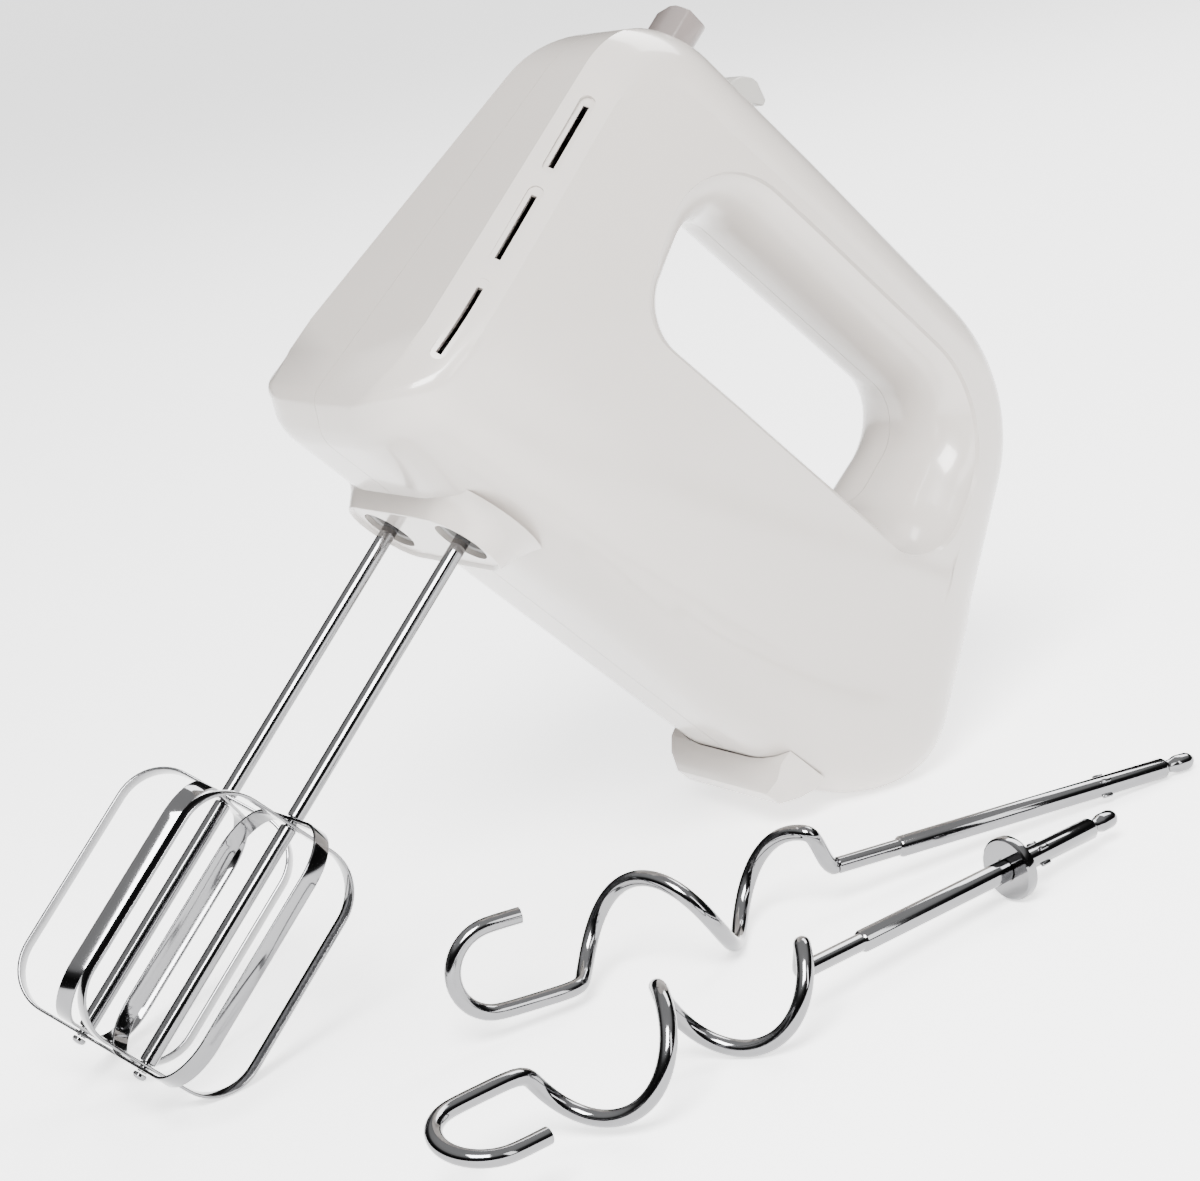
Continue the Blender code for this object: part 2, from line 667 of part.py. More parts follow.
def make_worm():
    """A two-start worm: an axial profile spun with an offset, then cut flat at both ends."""
    root = WORM_PITCH_RADIUS - TOOTH_ROOT
    tip = WORM_PITCH_RADIUS + TOOTH_TIP
    flank = math.tan(math.radians(20))
    at_root = WORM_TOOTH / 2 + TOOTH_ROOT * flank
    at_tip = WORM_TOOTH / 2 - TOOTH_TIP * flank
    turns_out = int(WORM_HALF_LENGTH / TOOTH_PITCH) + 2 * WORM_STARTS
    bm = bmesh.new()
    line = []
    for thread in range(-turns_out, turns_out + 1):
        middle = thread * TOOTH_PITCH
        for shift, radius in ((-at_root, root), (-at_tip, tip), (at_tip, tip), (at_root, root)):
            line.append(bm.verts.new((radius, middle + shift, 0)))
    edges = [bm.edges.new(pair) for pair in zip(line, line[1:])]
    steps = 20
    bmesh.ops.spin(bm, geom=line + edges, cent=(0, 0, 0), axis=(0, 1, 0), angle=2 * math.pi,
                   dvec=(0, WORM_LEAD / steps, 0), steps=steps)
    bmesh.ops.remove_doubles(bm, verts=bm.verts, dist=0.001)
    for end in (-1, 1):
        bmesh.ops.bisect_plane(bm, geom=bm.verts[:] + bm.edges[:] + bm.faces[:], dist=0.0001,
                               plane_co=(0, end * WORM_HALF_LENGTH, 0), plane_no=(0, end, 0),
                               clear_outer=True)
        rim = [e for e in bm.edges if e.is_boundary
               and all(abs(v.co.y - end * WORM_HALF_LENGTH) < 0.001 for v in e.verts)]
        bmesh.ops.contextual_create(bm, geom=rim)
    bmesh.ops.recalc_face_normals(bm, faces=bm.faces)
    bmesh.ops.translate(bm, vec=(0, 0, WORM_HEIGHT), verts=bm.verts)
    worm = to_object(bm, "worm")
    boolean(worm, rod("worm_bore", MOTOR_SHAFT_RADIUS + GAP, -WORM_HALF_LENGTH - 2, WORM_HALF_LENGTH + 2,
                      (0, WORM_HEIGHT), "Y", 16))
    finish(worm, STEEL, 0.3, 1.0, smooth=False)


def make_spindles():
    for word, side in SIDES:
        spindle = tube(word + "_spindle", SPINDLE_RADIUS, SHAFT_RADIUS + 0.35, SPINDLE_FOOT, SPINDLE_TOP,
                       (side * SHAFT_SPACING / 2, 0), sides=16)
        finish(spindle, STEEL, 0.35, 1.0)
        worm_wheel(word + "_worm_wheel", side)


def make_gearbox():
    """An L-shaped frame holds the spindles' feet and the motor's front bearing; a cover closes it."""
    foot = SPINDLE_FOOT + 2
    top = SPINDLE_TOP - PLATE_THICK + 2
    outline = [(PLATE_FRONT, foot), (BULKHEAD + BULKHEAD_THICK, foot), (BULKHEAD + BULKHEAD_THICK, top - GAP),
               (BULKHEAD, top - GAP), (BULKHEAD, foot + PLATE_THICK), (PLATE_FRONT, foot + PLATE_THICK)]
    frame = prism("gearbox_frame", outline, -PLATE_HALF_WIDTH, PLATE_HALF_WIDTH)
    cover = box("gearbox_cover", (-PLATE_HALF_WIDTH, PLATE_FRONT, top),
                (PLATE_HALF_WIDTH, BULKHEAD + BULKHEAD_THICK, top + PLATE_THICK))
    for word, side in SIDES:
        at = (side * SHAFT_SPACING / 2, 0)
        for plate in (frame, cover):
            boolean(plate, rod(f"{plate.name}_{word}_bore", SPINDLE_RADIUS + GAP, foot - 5, top + 8, at, sides=16))
        screw_at = (side * (PLATE_HALF_WIDTH - 5), BULKHEAD + BULKHEAD_THICK / 2)
        boolean(cover, rod(f"cover_{word}_screw_hole", 1.3, top - 1, top + 8, screw_at, sides=10))
        boolean(frame, rod(f"frame_{word}_screw_hole", 1.3, top - 9, top + 8, screw_at, sides=10))
        profile = [(0, top + PLATE_THICK + 2), (2.4, top + PLATE_THICK + 2), (2.4, top + PLATE_THICK + GAP),
                   (1.0, top + PLATE_THICK + GAP), (1.0, top - 8), (0, top - 8)]
        finish(turned(f"gearbox_screw_{word}", profile, (*screw_at, 0), sides=10), STEEL, 0.35, 1.0)
    boolean(frame, rod("frame_bearing_seat", 6.0 + GAP, BULKHEAD - 2, BULKHEAD + BULKHEAD_THICK + 2,
                       (0, WORM_HEIGHT), "Y", 20))
    finish(frame, LIGHT_GREY, 0.5)
    finish(cover, LIGHT_GREY, 0.5)
    bearing = tube("front_motor_bearing", 6.0, MOTOR_SHAFT_RADIUS + GAP, BULKHEAD, BULKHEAD + BULKHEAD_THICK,
                   (0, WORM_HEIGHT), "Y", 20)
    finish(bearing, BRONZE, 0.4, 1.0)


# ---------------------------------------------------------------- motor

def on_motor(name, outer, start, end, color, roughness, metallic=0.0, sides=24):
    made = tube(name, outer, MOTOR_SHAFT_RADIUS + GAP, start, end, (0, WORM_HEIGHT), "Y", sides)
    return finish(made, color, roughness, metallic)


def make_rotor():
    shaft = rod("motor_shaft", MOTOR_SHAFT_RADIUS, -WORM_HALF_LENGTH - 2, REAR_BEARING_AT + 5, (0, WORM_HEIGHT),
                "Y", 16)
    finish(shaft, STEEL, 0.25, 1.0)
    back = STACK_FRONT + STACK_LENGTH
    on_motor("armature_core", ARMATURE_RADIUS, STACK_FRONT, back, STEEL, 0.5, 1.0)
    on_motor("front_armature_winding", SLOT_LOW - GAP, STACK_FRONT - 6, STACK_FRONT - GAP, COPPER, 0.4, 0.6)
    on_motor("rear_armature_winding", SLOT_LOW - GAP, back + GAP, back + 6, COPPER, 0.4, 0.6)
    on_motor("commutator", COMMUTATOR_RADIUS, COMMUTATOR_FRONT, COMMUTATOR_FRONT + COMMUTATOR_LENGTH, COPPER,
             0.3, 1.0)
    make_fan()


def make_fan():
    blades = 9
    hub = 8.0
    points = []
    for blade in range(blades):
        turn = 2 * math.pi * blade / blades
        for radius, angle in ((hub, -0.12), (FAN_RADIUS, 0.08), (FAN_RADIUS, 0.16), (hub, 0.12)):
            points.append((radius * math.sin(turn + angle), WORM_HEIGHT + radius * math.cos(turn + angle)))
    fan = prism("cooling_fan", points, FAN_FRONT, FAN_FRONT + 7.0, "Y")
    boolean(fan, rod("fan_bore", MOTOR_SHAFT_RADIUS + GAP, FAN_FRONT - 2, FAN_FRONT + 9, (0, WORM_HEIGHT), "Y", 16))
    finish(fan, BLACK, 0.5, smooth=False)


SLOT_IN, SLOT_OUT = 10.7, 15.5
SLOT_LOW, SLOT_HIGH = 8.2, 13.8


def make_stator():
    back = STACK_FRONT + STACK_LENGTH
    core = box("stator_core", (-STATOR_WIDTH / 2, STACK_FRONT, WORM_HEIGHT - STATOR_HEIGHT / 2),
               (STATOR_WIDTH / 2, back, WORM_HEIGHT + STATOR_HEIGHT / 2))
    boolean(core, rod("stator_bore", ARMATURE_RADIUS + AIR_GAP, STACK_FRONT - 2, back + 2, (0, WORM_HEIGHT), "Y", 24))
    for word, up in (("upper", 1), ("lower", -1)):
        low = WORM_HEIGHT + up * SLOT_LOW
        high = WORM_HEIGHT + up * SLOT_HIGH
        for side_word, side in SIDES:
            xs = sorted((side * SLOT_IN, side * SLOT_OUT))
            zs = sorted((low, high))
            boolean(core, box(f"slot_{word}_{side_word}", (xs[0], STACK_FRONT - 2, zs[0]), (xs[1], back + 2, zs[1])))
        zs = sorted((low + up * GAP, high - up * GAP))
        coil = box(f"{word}_field_coil", (-SLOT_OUT + GAP, STACK_FRONT - 5, zs[0]),
                   (SLOT_OUT - GAP, back + 5, zs[1]))
        boolean(coil, box(f"{word}_coil_window", (-SLOT_IN - GAP, STACK_FRONT - GAP, zs[0] - 1),
                          (SLOT_IN + GAP, back + GAP, zs[1] + 1)))
        finish(coil, COPPER, 0.4, 0.6, smooth=False)
    finish(core, STEEL, 0.5, 0.8, smooth=False)


def make_rear_motor_end():
    """The bracket with the rear bearing, and the two brushes in their holders."""
    bracket = box("motor_rear_bracket", (-20, REAR_BEARING_AT, WORM_HEIGHT - 8),
                  (20, REAR_BEARING_AT + 3, WORM_HEIGHT + 8))
    boolean(bracket, rod("bracket_bore", 5.0 + GAP, REAR_BEARING_AT - 2, REAR_BEARING_AT + 5, (0, WORM_HEIGHT), "Y", 20))
    finish(bracket, BLACK, 0.5, smooth=False)
    on_motor("rear_motor_bearing", 5.0, REAR_BEARING_AT, REAR_BEARING_AT + 3, BRONZE, 0.4, 1.0)
    middle = COMMUTATOR_FRONT + COMMUTATOR_LENGTH / 2
    for word, side in SIDES:
        xs = sorted((side * (COMMUTATOR_RADIUS + GAP), side * 15))
        brush = box(word + "_brush", (xs[0], middle - 2.5, WORM_HEIGHT - 2.2), (xs[1], middle + 2.5, WORM_HEIGHT + 2.2))
        finish(brush, BLACK, 0.7, smooth=False)
        xs = sorted((side * 9, side * 22))
        holder = box(word + "_brush_holder", (xs[0], middle - 4, WORM_HEIGHT - 3.7),
                     (xs[1], middle + 4, WORM_HEIGHT + 3.7))
        boolean(holder, box(word + "_holder_bore", (xs[0] - 2, middle - 2.5 - GAP, WORM_HEIGHT - 2.2 - GAP),
                            (xs[1] + 2, middle + 2.5 + GAP, WORM_HEIGHT + 2.2 + GAP)))
        finish(holder, BRONZE, 0.35, 1.0, smooth=False)


# ---------------------------------------------------------------- controls

def make_eject():
    """A faceted button over a fork whose prongs push both beaters out."""
    outline = [(-BUTTON_HALF_WIDTH, BUTTON_FRONT + 1.0), (0, BUTTON_FRONT), (BUTTON_HALF_WIDTH, BUTTON_FRONT + 1.0),
               (BUTTON_HALF_WIDTH, BUTTON_REAR), (-BUTTON_HALF_WIDTH, BUTTON_REAR)]
    button = prism("eject_button", outline, BUTTON_FOOT, BUTTON_TIP, "Z")
    finish(button, GREY_MAUVE, 0.35, smooth=False)
    stem_front, stem_rear = BUTTON_FRONT + 2.5, BUTTON_FRONT + 7.5
    outline = [(stem_front, FORK_TOP - FORK_THICK), (3.5, FORK_TOP - FORK_THICK), (3.5, FORK_TOP),
               (stem_rear, FORK_TOP), (stem_rear, BUTTON_FOOT - GAP), (stem_front, BUTTON_FOOT - GAP)]
    fork = prism("ejector_fork", outline, -3.0, 3.0)
    bar = box("fork_bar", (-SHAFT_SPACING / 2 - 4, -3.5, FORK_TOP - FORK_THICK + 0.2),
              (SHAFT_SPACING / 2 + 4, 3.2, FORK_TOP - 0.2))
    boolean(fork, bar, "UNION")
    for word, side in SIDES:
        prong = rod(f"fork_prong_{word}", PRONG_RADIUS, SHAFT_INSERT + GAP, FORK_TOP - 1, (side * SHAFT_SPACING / 2, 0),
                    sides=12)
        boolean(fork, prong, "UNION")
    finish(fork, LIGHT_GREY, 0.5, smooth=False)


def make_slider():
    """The thumb tab with its stem through the slot."""
    rear = SLIDER_FRONT + SLIDER_LENGTH
    base = top_line(SLIDER_FRONT) + GAP + 0.1
    outline = [(SLIDER_FRONT, base), (rear - 3.5, base), (rear - 3.0, base + 2.0), (rear, base + 3.2),
               (rear, base + 5.2), (SLIDER_FRONT + 6.5, base + SLIDER_HEIGHT), (SLIDER_FRONT + 3.0, base + 6.6),
               (SLIDER_FRONT + 0.8, base + 4.0)]
    tab = prism("speed_slider", outline, -SLIDER_HALF_WIDTH, SLIDER_HALF_WIDTH)
    stem = box("slider_stem", (-STEM_HALF_WIDTH, SLIDER_FRONT + 3, BODY_TOP - 12),
               (STEM_HALF_WIDTH, SLIDER_FRONT + 9, base + 2))
    boolean(tab, stem, "UNION")
    finish(tab, LIGHT_GREY, 0.3)


def make_switch():
    """The speed switch under the slider, and the circuit board behind it."""
    top = BODY_TOP - 12 - GAP
    block = box("speed_switch", (-8, SLIDER_FRONT - 2, top - 9), (8, SLIDER_FRONT + 30, top))
    finish(block, BLACK, 0.5, smooth=False)
    board = box("circuit_board", (-9, SLIDER_FRONT + 34, top - 6), (9, SLIDER_FRONT + 74, top - 4.4))
    finish(board, BOARD, 0.5, smooth=False)


# ---------------------------------------------------------------- beaters

def ring_strip(name, radius, top, bottom, turn, at):
    """A closed strip loop around the shaft, in a plane turned about it."""
    corners = [(-radius, bottom), (radius, bottom), (radius, top), (-radius, top)]
    outer = fillet(corners, [LOOP_CORNER] * 4, [5] * 4)
    inner_corners = [(x - math.copysign(STRIP_THICK, x), z + (STRIP_THICK if z == bottom else -STRIP_THICK))
                     for x, z in corners]
    inner = fillet(inner_corners, [LOOP_CORNER - STRIP_THICK] * 4, [5] * 4)
    bm = bmesh.new()
    half = STRIP_WIDTH / 2
    rings = [[bm.verts.new((p.x, y, p.y)) for p in ring]
             for ring, y in ((outer, -half), (outer, half), (inner, half), (inner, -half))]
    count = len(outer)
    for first, second in zip(rings, rings[1:] + rings[:1]):
        for i in range(count):
            j = (i + 1) % count
            bm.faces.new((first[i], first[j], second[j], second[i]))
    bmesh.ops.recalc_face_normals(bm, faces=bm.faces)
    bmesh.ops.rotate(bm, cent=(0, 0, 0), matrix=Matrix.Rotation(math.radians(turn), 3, "Z"), verts=bm.verts)
    bmesh.ops.translate(bm, vec=(*at, 0), verts=bm.verts)
    loop = to_object(bm, name)
    hole = rod(name + "_hole", NECK_RADIUS + GAP, bottom - 3, top + 3, at, sides=12)
    boolean(loop, hole)
    return finish(loop, CHROME, 0.08, 1.0)


def make_beater(word, side, turn):
    """Shaft, two crossed strip loops and the rivet that holds them at the foot."""
    at = (side * SHAFT_SPACING / 2, 0)
    foot = -BEATER_REACH
    top = foot + LOOP_HEIGHT
    layer = STRIP_THICK + GAP
    neck_top, neck_foot = top + GAP, top - layer - STRIP_THICK - GAP
    low_top, low_foot = foot + layer + STRIP_THICK + GAP, foot - GAP
    profile = [(0, SHAFT_INSERT), (1.2, SHAFT_INSERT - 0.3), (SHAFT_RADIUS, SHAFT_INSERT - 2.5),
               (SHAFT_RADIUS, SHAFT_INSERT - 5), (1.5, SHAFT_INSERT - 5.8), (1.5, SHAFT_INSERT - 7),
               (SHAFT_RADIUS, SHAFT_INSERT - 7.8), (SHAFT_RADIUS, neck_top), (NECK_RADIUS, neck_top),
               (NECK_RADIUS, neck_foot), (SHAFT_RADIUS, neck_foot), (SHAFT_RADIUS, low_top),
               (NECK_RADIUS, low_top), (NECK_RADIUS, low_foot), (0, low_foot)]
    shaft = turned(word + "_beater_shaft", profile, (*at, 0), sides=16)
    finish(shaft, CHROME, 0.08, 1.0)
    ring_strip(word + "_outer_loop", LOOP_RADIUS, top, foot, turn, at)
    ring_strip(word + "_inner_loop", LOOP_RADIUS, top - layer, foot + layer, turn + 90, at)
    rivet = rod(word + "_beater_rivet", 1.8, low_foot - GAP - 1.6, low_foot - GAP, at, sides=12, tip_radius=1.5)
    finish(rivet, CHROME, 0.12, 1.0)


# ---------------------------------------------------------------- dough hooks

def hook_points(hand, pitch, coil_start, coil_end, last_angle):
    """The wire's centre line in the hook's frame: +Z along the hook, angles about it."""
    per_mm = hand * 2 * math.pi / pitch
    steps = 30
    coil = []
    for k in range(steps + 1):
        s = coil_start + (coil_end - coil_start) * k / steps
        angle = last_angle - per_mm * (coil_end - s)
        coil.append(Vector((HOOK_COIL_RADIUS * math.cos(angle), HOOK_COIL_RADIUS * math.sin(angle), s)))
    first = coil[0]
    lead_in = [Vector((0, 0, 0.2)), Vector((0, 0, 1.0))]
    for share, height in ((0.12, 0.45), (0.38, 0.75), (0.7, 0.92)):
        lead_in.append(Vector((first.x * share, first.y * share, 1.0 + (coil_start - 1.0) * height)))
    out = Vector((math.cos(last_angle), math.sin(last_angle), 0)) * HOOK_COIL_RADIUS
    run = [out + Vector((0, 0, coil_end + (HOOK_TURN_AT - coil_end) * k / 3)) for k in (1, 2)]
    crook = []
    for k in range(13):
        swing = math.pi * k / 12
        crook.append(out * math.cos(swing) + Vector((0, 0, HOOK_TURN_AT + HOOK_COIL_RADIUS * math.sin(swing))))
    return lead_in + coil + run + crook + [-out + Vector((0, 0, HOOK_TURN_AT - HOOK_RETURN))]


def hook_matrix(tip_at, heading, tip_rest, rest_at, touch_at):
    """The hook's frame as it lies on the table: +Z from its tip along it, +Y up, +X to the mixer's left.

    It rests on its tip or disc at one end and on the coil at the other."""
    low_coil = HOOK_COIL_RADIUS + HOOK_WIRE_RADIUS + 0.2
    rise = math.asin((low_coil - tip_rest) / (HOOK_SHAFT_LENGTH + touch_at - rest_at))
    along = Vector((math.cos(rise) * math.cos(heading), math.cos(rise) * math.sin(heading), math.sin(rise)))
    near = Vector((0, 0, 1)).cross(along).normalized()
    up = along.cross(near)
    turn = Matrix((near, up, along)).transposed().to_4x4()
    height = tip_rest / math.cos(rise) - rest_at * math.sin(rise)
    return Matrix.Translation(Vector((*tip_at, height)) + along * HOOK_SHAFT_LENGTH) @ turn


def place_on_table(made, placing):
    made.data.transform(Matrix.Scale(1 / MM, 4))
    made.data.transform(placing)
    made.data.transform(Matrix.Scale(MM, 4))


def hook_wire(name, centre_line):
    """A round wire through the points, made a mesh with welded caps."""
    curve = bpy.data.curves.new(name, "CURVE")
    curve.dimensions = "3D"
    curve.bevel_depth = HOOK_WIRE_RADIUS * MM
    curve.bevel_resolution = 2
    curve.use_fill_caps = True
    line = curve.splines.new("POLY")
    line.points.add(len(centre_line) - 1)
    for spot, point in zip(line.points, centre_line):
        spot.co = (*(point * MM), 1.0)
    drawn = bpy.data.objects.new(name + "_line", curve)
    bpy.context.scene.collection.objects.link(drawn)
    mesh = bpy.data.meshes.new_from_object(drawn.evaluated_get(bpy.context.evaluated_depsgraph_get()))
    bpy.data.objects.remove(drawn, do_unlink=True)
    bm = bmesh.new()
    bm.from_mesh(mesh)
    bmesh.ops.remove_doubles(bm, verts=bm.verts, dist=0.00001)
    bmesh.ops.recalc_face_normals(bm, faces=bm.faces)
    bm.to_mesh(mesh)
    bm.free()
    mesh.name = name
    wire = bpy.data.objects.new(name, mesh)
    PARTS.objects.link(wire)
    wire.parent = TABLE
    return wire


def make_hook(word, placing, centre_line, disc):
    """A dough hook: stepped shaft with a driving tip, coiled wire, and on one of them a disc."""
    length = HOOK_SHAFT_LENGTH
    step_at = -18.0
    profile = [(0, -GAP), (SHAFT_RADIUS, -GAP), (SHAFT_RADIUS, step_at), (HOOK_SLEEVE_RADIUS, step_at),
               (HOOK_SLEEVE_RADIUS, -length + 9), (1.7, -length + 8), (1.7, -length + 7), (HOOK_TIP_RADIUS, -length + 5),
               (HOOK_TIP_RADIUS, -length + 2), (1.2, -length), (0, -length)]
    shaft = turned(word + "_hook_shaft", profile, sides=16, frame=TABLE)
    place_on_table(shaft, placing)
    if disc:
        disc_at = -length + HOOK_DISC_AT
        flange = tube(word + "_hook_disc", HOOK_DISC_RADIUS, HOOK_SLEEVE_RADIUS + GAP, disc_at,
                      disc_at + HOOK_DISC_THICK, (0, 0), sides=20, frame=TABLE)
        place_on_table(flange, placing)
        finish(flange, CHROME, 0.1, 1.0)
    wire = hook_wire(word + "_hook_wire", centre_line)
    place_on_table(wire, placing)
    finish(shaft, CHROME, 0.08, 1.0)
    finish(wire, CHROME, 0.08, 1.0)


def make_hooks():
    """The right hook is plain; the left hook is its mirror and has a disc that marks its socket."""
    placing = hook_matrix((97.3, 151.2), math.radians(-100.6), HOOK_TIP_RADIUS, 2.0, 32.0)
    make_hook("right", placing, hook_points(1, 42.0, 7.0, 71.0, math.radians(-90)), False)
    placing = hook_matrix((113.2, 108.7), math.radians(-85.2), HOOK_DISC_RADIUS, HOOK_DISC_AT, 25.5)
    make_hook("left", placing, hook_points(-1, 40.0, 4.0, 72.0, math.radians(167)), True)


# ---------------------------------------------------------------- standing on the table

def evaluated_points(names, frame):
    """Corner points of some pieces, in a frame's own axes, in millimetres."""
    depsgraph = bpy.context.evaluated_depsgraph_get()
    points = []
    for made in PARTS.objects:
        if made.type == "MESH" and any(word in made.name for word in names) and made.parent == frame:
            points += [v.co / MM for v in made.evaluated_get(depsgraph).data.vertices]
    return points


def lean_angle(beater, body):
    """The lean at which the beaters' lowest point and the heel touch the same level."""
    low, high = math.radians(30), math.radians(75)
    for _ in range(40):
        lean = (low + high) / 2
        down = Vector((0, math.sin(lean), -math.cos(lean)))
        if max(p.dot(down) for p in beater) > max(p.dot(down) for p in body):
            low = lean
        else:
            high = lean
    return lean


def stand_on_table():
    bpy.context.view_layer.update()
    beater = evaluated_points(["_loop"], MIXER)
    body = evaluated_points(["_housing", "heel_ledge"], MIXER)
    lean = lean_angle(beater, body)
    turn = Matrix.Rotation(-lean, 4, "X")
    mixer_points = evaluated_points([""], MIXER)
    depth = min((turn @ p).z for p in mixer_points)
    hook_points_now = evaluated_points([""], TABLE)
    everything = [turn @ p - Vector((0, 0, depth)) for p in mixer_points] + hook_points_now
    middle = [(max(p[i] for p in everything) + min(p[i] for p in everything)) / 2 for i in (0, 1)]
    shift = Vector((-middle[0], -middle[1], 0))
    MIXER.matrix_world = Matrix.Translation((shift - Vector((0, 0, depth))) * MM) @ turn
    TABLE.matrix_world = Matrix.Translation(shift * MM)
    bpy.context.view_layer.update()


def main():
    make_housing()
    make_screws()
    make_heel_ledge()
    make_inlet()
    make_socket_liners()
    make_gearbox()
    make_spindles()
    make_worm()
    make_rotor()
    make_stator()
    make_rear_motor_end()
    make_eject()
    make_slider()
    make_switch()
    for (word, side), turn in zip(SIDES, (LEFT_BEATER_TURN, RIGHT_BEATER_TURN)):
        make_beater(word, side, turn)
    make_hooks()
    stand_on_table()


main()
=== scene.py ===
"""Hand mixer with two wire beaters and two dough hooks: the visible pieces and their finishes.

Shapes are drawn in the mixer's own frame in millimetres: the origin is the middle of the collar's
lower face, +X is the mixer's left, +Y its rear and +Z runs up along the beater shafts. The frame's
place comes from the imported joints, so every piece lands where the CAD says.
"""
import json
import math

import bmesh
import bpy
from bpy.props import FloatProperty, FloatVectorProperty, PointerProperty
from mathutils import Matrix, Vector


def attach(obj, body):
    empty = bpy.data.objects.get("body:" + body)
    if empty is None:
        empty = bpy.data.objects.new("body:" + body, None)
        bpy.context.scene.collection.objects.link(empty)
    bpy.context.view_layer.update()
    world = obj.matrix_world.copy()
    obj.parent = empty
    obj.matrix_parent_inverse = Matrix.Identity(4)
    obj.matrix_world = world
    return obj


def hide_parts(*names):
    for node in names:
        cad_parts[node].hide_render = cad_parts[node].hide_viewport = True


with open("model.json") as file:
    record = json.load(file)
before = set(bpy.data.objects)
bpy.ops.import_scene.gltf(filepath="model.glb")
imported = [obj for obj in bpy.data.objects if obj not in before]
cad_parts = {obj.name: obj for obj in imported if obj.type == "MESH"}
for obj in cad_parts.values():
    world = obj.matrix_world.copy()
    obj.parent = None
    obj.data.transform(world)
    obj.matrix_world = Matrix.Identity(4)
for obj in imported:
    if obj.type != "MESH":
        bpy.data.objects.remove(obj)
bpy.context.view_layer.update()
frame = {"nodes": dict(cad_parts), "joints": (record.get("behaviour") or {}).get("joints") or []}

bl_info = {
    "name": "Hand Mixer Pieces",
    "version": (1, 0, 0),
    "blender": (4, 5, 0),
    "location": "3D View > Sidebar > Mixer",
    "description": "Builds the visible pieces of a hand mixer around its CAD frame",
    "category": "Object",
}

MM = 0.001

# ---------------------------------------------------------------- sizes, as in the CAD, millimetres

WORM_HEIGHT = 36.0
BODY_HALF_WIDTH = 41.0
BODY_TOP = 146.0
BODY_FLOOR = 4.5
BODY_FRONT = -46.6
BODY_REAR = 161.2
FRONT_LEAN = 0.067
REAR_LEAN = 0.231
TOP_LEAN = 0.026
FACET_TOP = 12.0
FACET_RUN = 8.6
SHOULDER = 40.0
SIDE_LEAN = 0.186
REAR_TAPER = 0.03
SEAM = 0.12
SEAM_LAND = 3.0
ROUND_UNDER = 27.0
ROUND_FRONT = 9.0
ROUND_TOE = 17.0
ROUND_TOP = 17.0
ROUND_REAR = 10.0
ROUND_HEEL = 22.0
HEEL_RADIUS = 30.0
REAR_TOP_RADIUS = 46.0
FRONT_TOP_RADIUS = 30.0
FRONT_FOOT = 12.0             # how much wider the front's rounding is at its foot
FOOT_TOP = 34.0               # the height at which that widening starts
CREASE_STEP = 0.9             # the sides step in by this much over the crease
CREASE_HEIGHT = 24.7          # the crease's height at y = 0
CREASE_RISE = 0.36
CREASE_RUN = 7.0
OPENING_FRONT = 10.0
OPENING_REAR = 110.5
OPENING_BOTTOM = 75.0
OPENING_TOP = 113.6
OPENING_RADIUS = 15.0
VENT_LOWEST = 40.0
VENT_PITCH = 28.8
VENT_LENGTH = 20.0
COLLAR_HALF_LENGTH = 30.0
COLLAR_HALF_WIDTH = 12.0
INLET_HEIGHT = 56.0
INLET_RADIUS = 5.5
GAP = 0.3
BUTTON_HALF_WIDTH = 7.5
BUTTON_FRONT = -18.5
BUTTON_REAR = -8.5
BUTTON_TIP = 155.4
CONTROL_FOOT = 134.2
SLIDER_FRONT = 4.0
SLIDER_HALF_WIDTH = 7.0
SLIDER_TRAVEL = 12.0
STEM_HALF_WIDTH = 2.2
STEM_FRONT = 7.0
STEM_REAR = 13.0
SHAFT_RADIUS = 2.1
SHAFT_INSERT = 34.0
BEATER_REACH = 148.0
LOOP_RADIUS = 25.2
LOOP_HEIGHT = 69.0
LOOP_CORNER = 13.0
STRIP_WIDTH = 4.4
STRIP_THICK = 0.8
NECK_RADIUS = 1.2
LOOP_LAYER = 1.1
SHAFT_SIDE = 18.25
SOCKET_RADIUS = 7.5
LEFT_TURN = -4.0
RIGHT_TURN = 41.0
HOOK_LENGTH = 105.0
HOOK_COIL = 11.0
HOOK_WIRE = 2.0
HOOK_TURN_AT = 91.0
HOOK_RETURN = 8.0
HOOK_CLEAR = 0.2

# ---------------------------------------------------------------- the mixer's frame

JOINTS = {joint["name"]: joint for joint in frame["joints"]}


def mixer_matrix():
    """The mixer's frame in the world, from the motor's and the spindles' joints, for millimetres."""
    rear = Vector(JOINTS["motor_spin"]["axis"]).normalized()
    up = Vector(JOINTS["left_spindle_spin"]["axis"]).normalized()
    left = rear.cross(up)
    left_at, right_at = (Vector(JOINTS[f"{word}_spindle_spin"]["pos_m"]) for word in ("left", "right"))
    middle = (left_at + right_at) / 2
    turn = Matrix((left, rear, up)).transposed().to_4x4()
    return Matrix.Translation(middle - up * WORM_HEIGHT * MM) @ turn @ Matrix.Scale(MM, 4)


MIXER = mixer_matrix()
TABLE = Matrix.Translation((MIXER.translation.x, MIXER.translation.y, 0)) @ Matrix.Scale(MM, 4)
SIDES = (("left", 1), ("right", -1))


# ---------------------------------------------------------------- settings

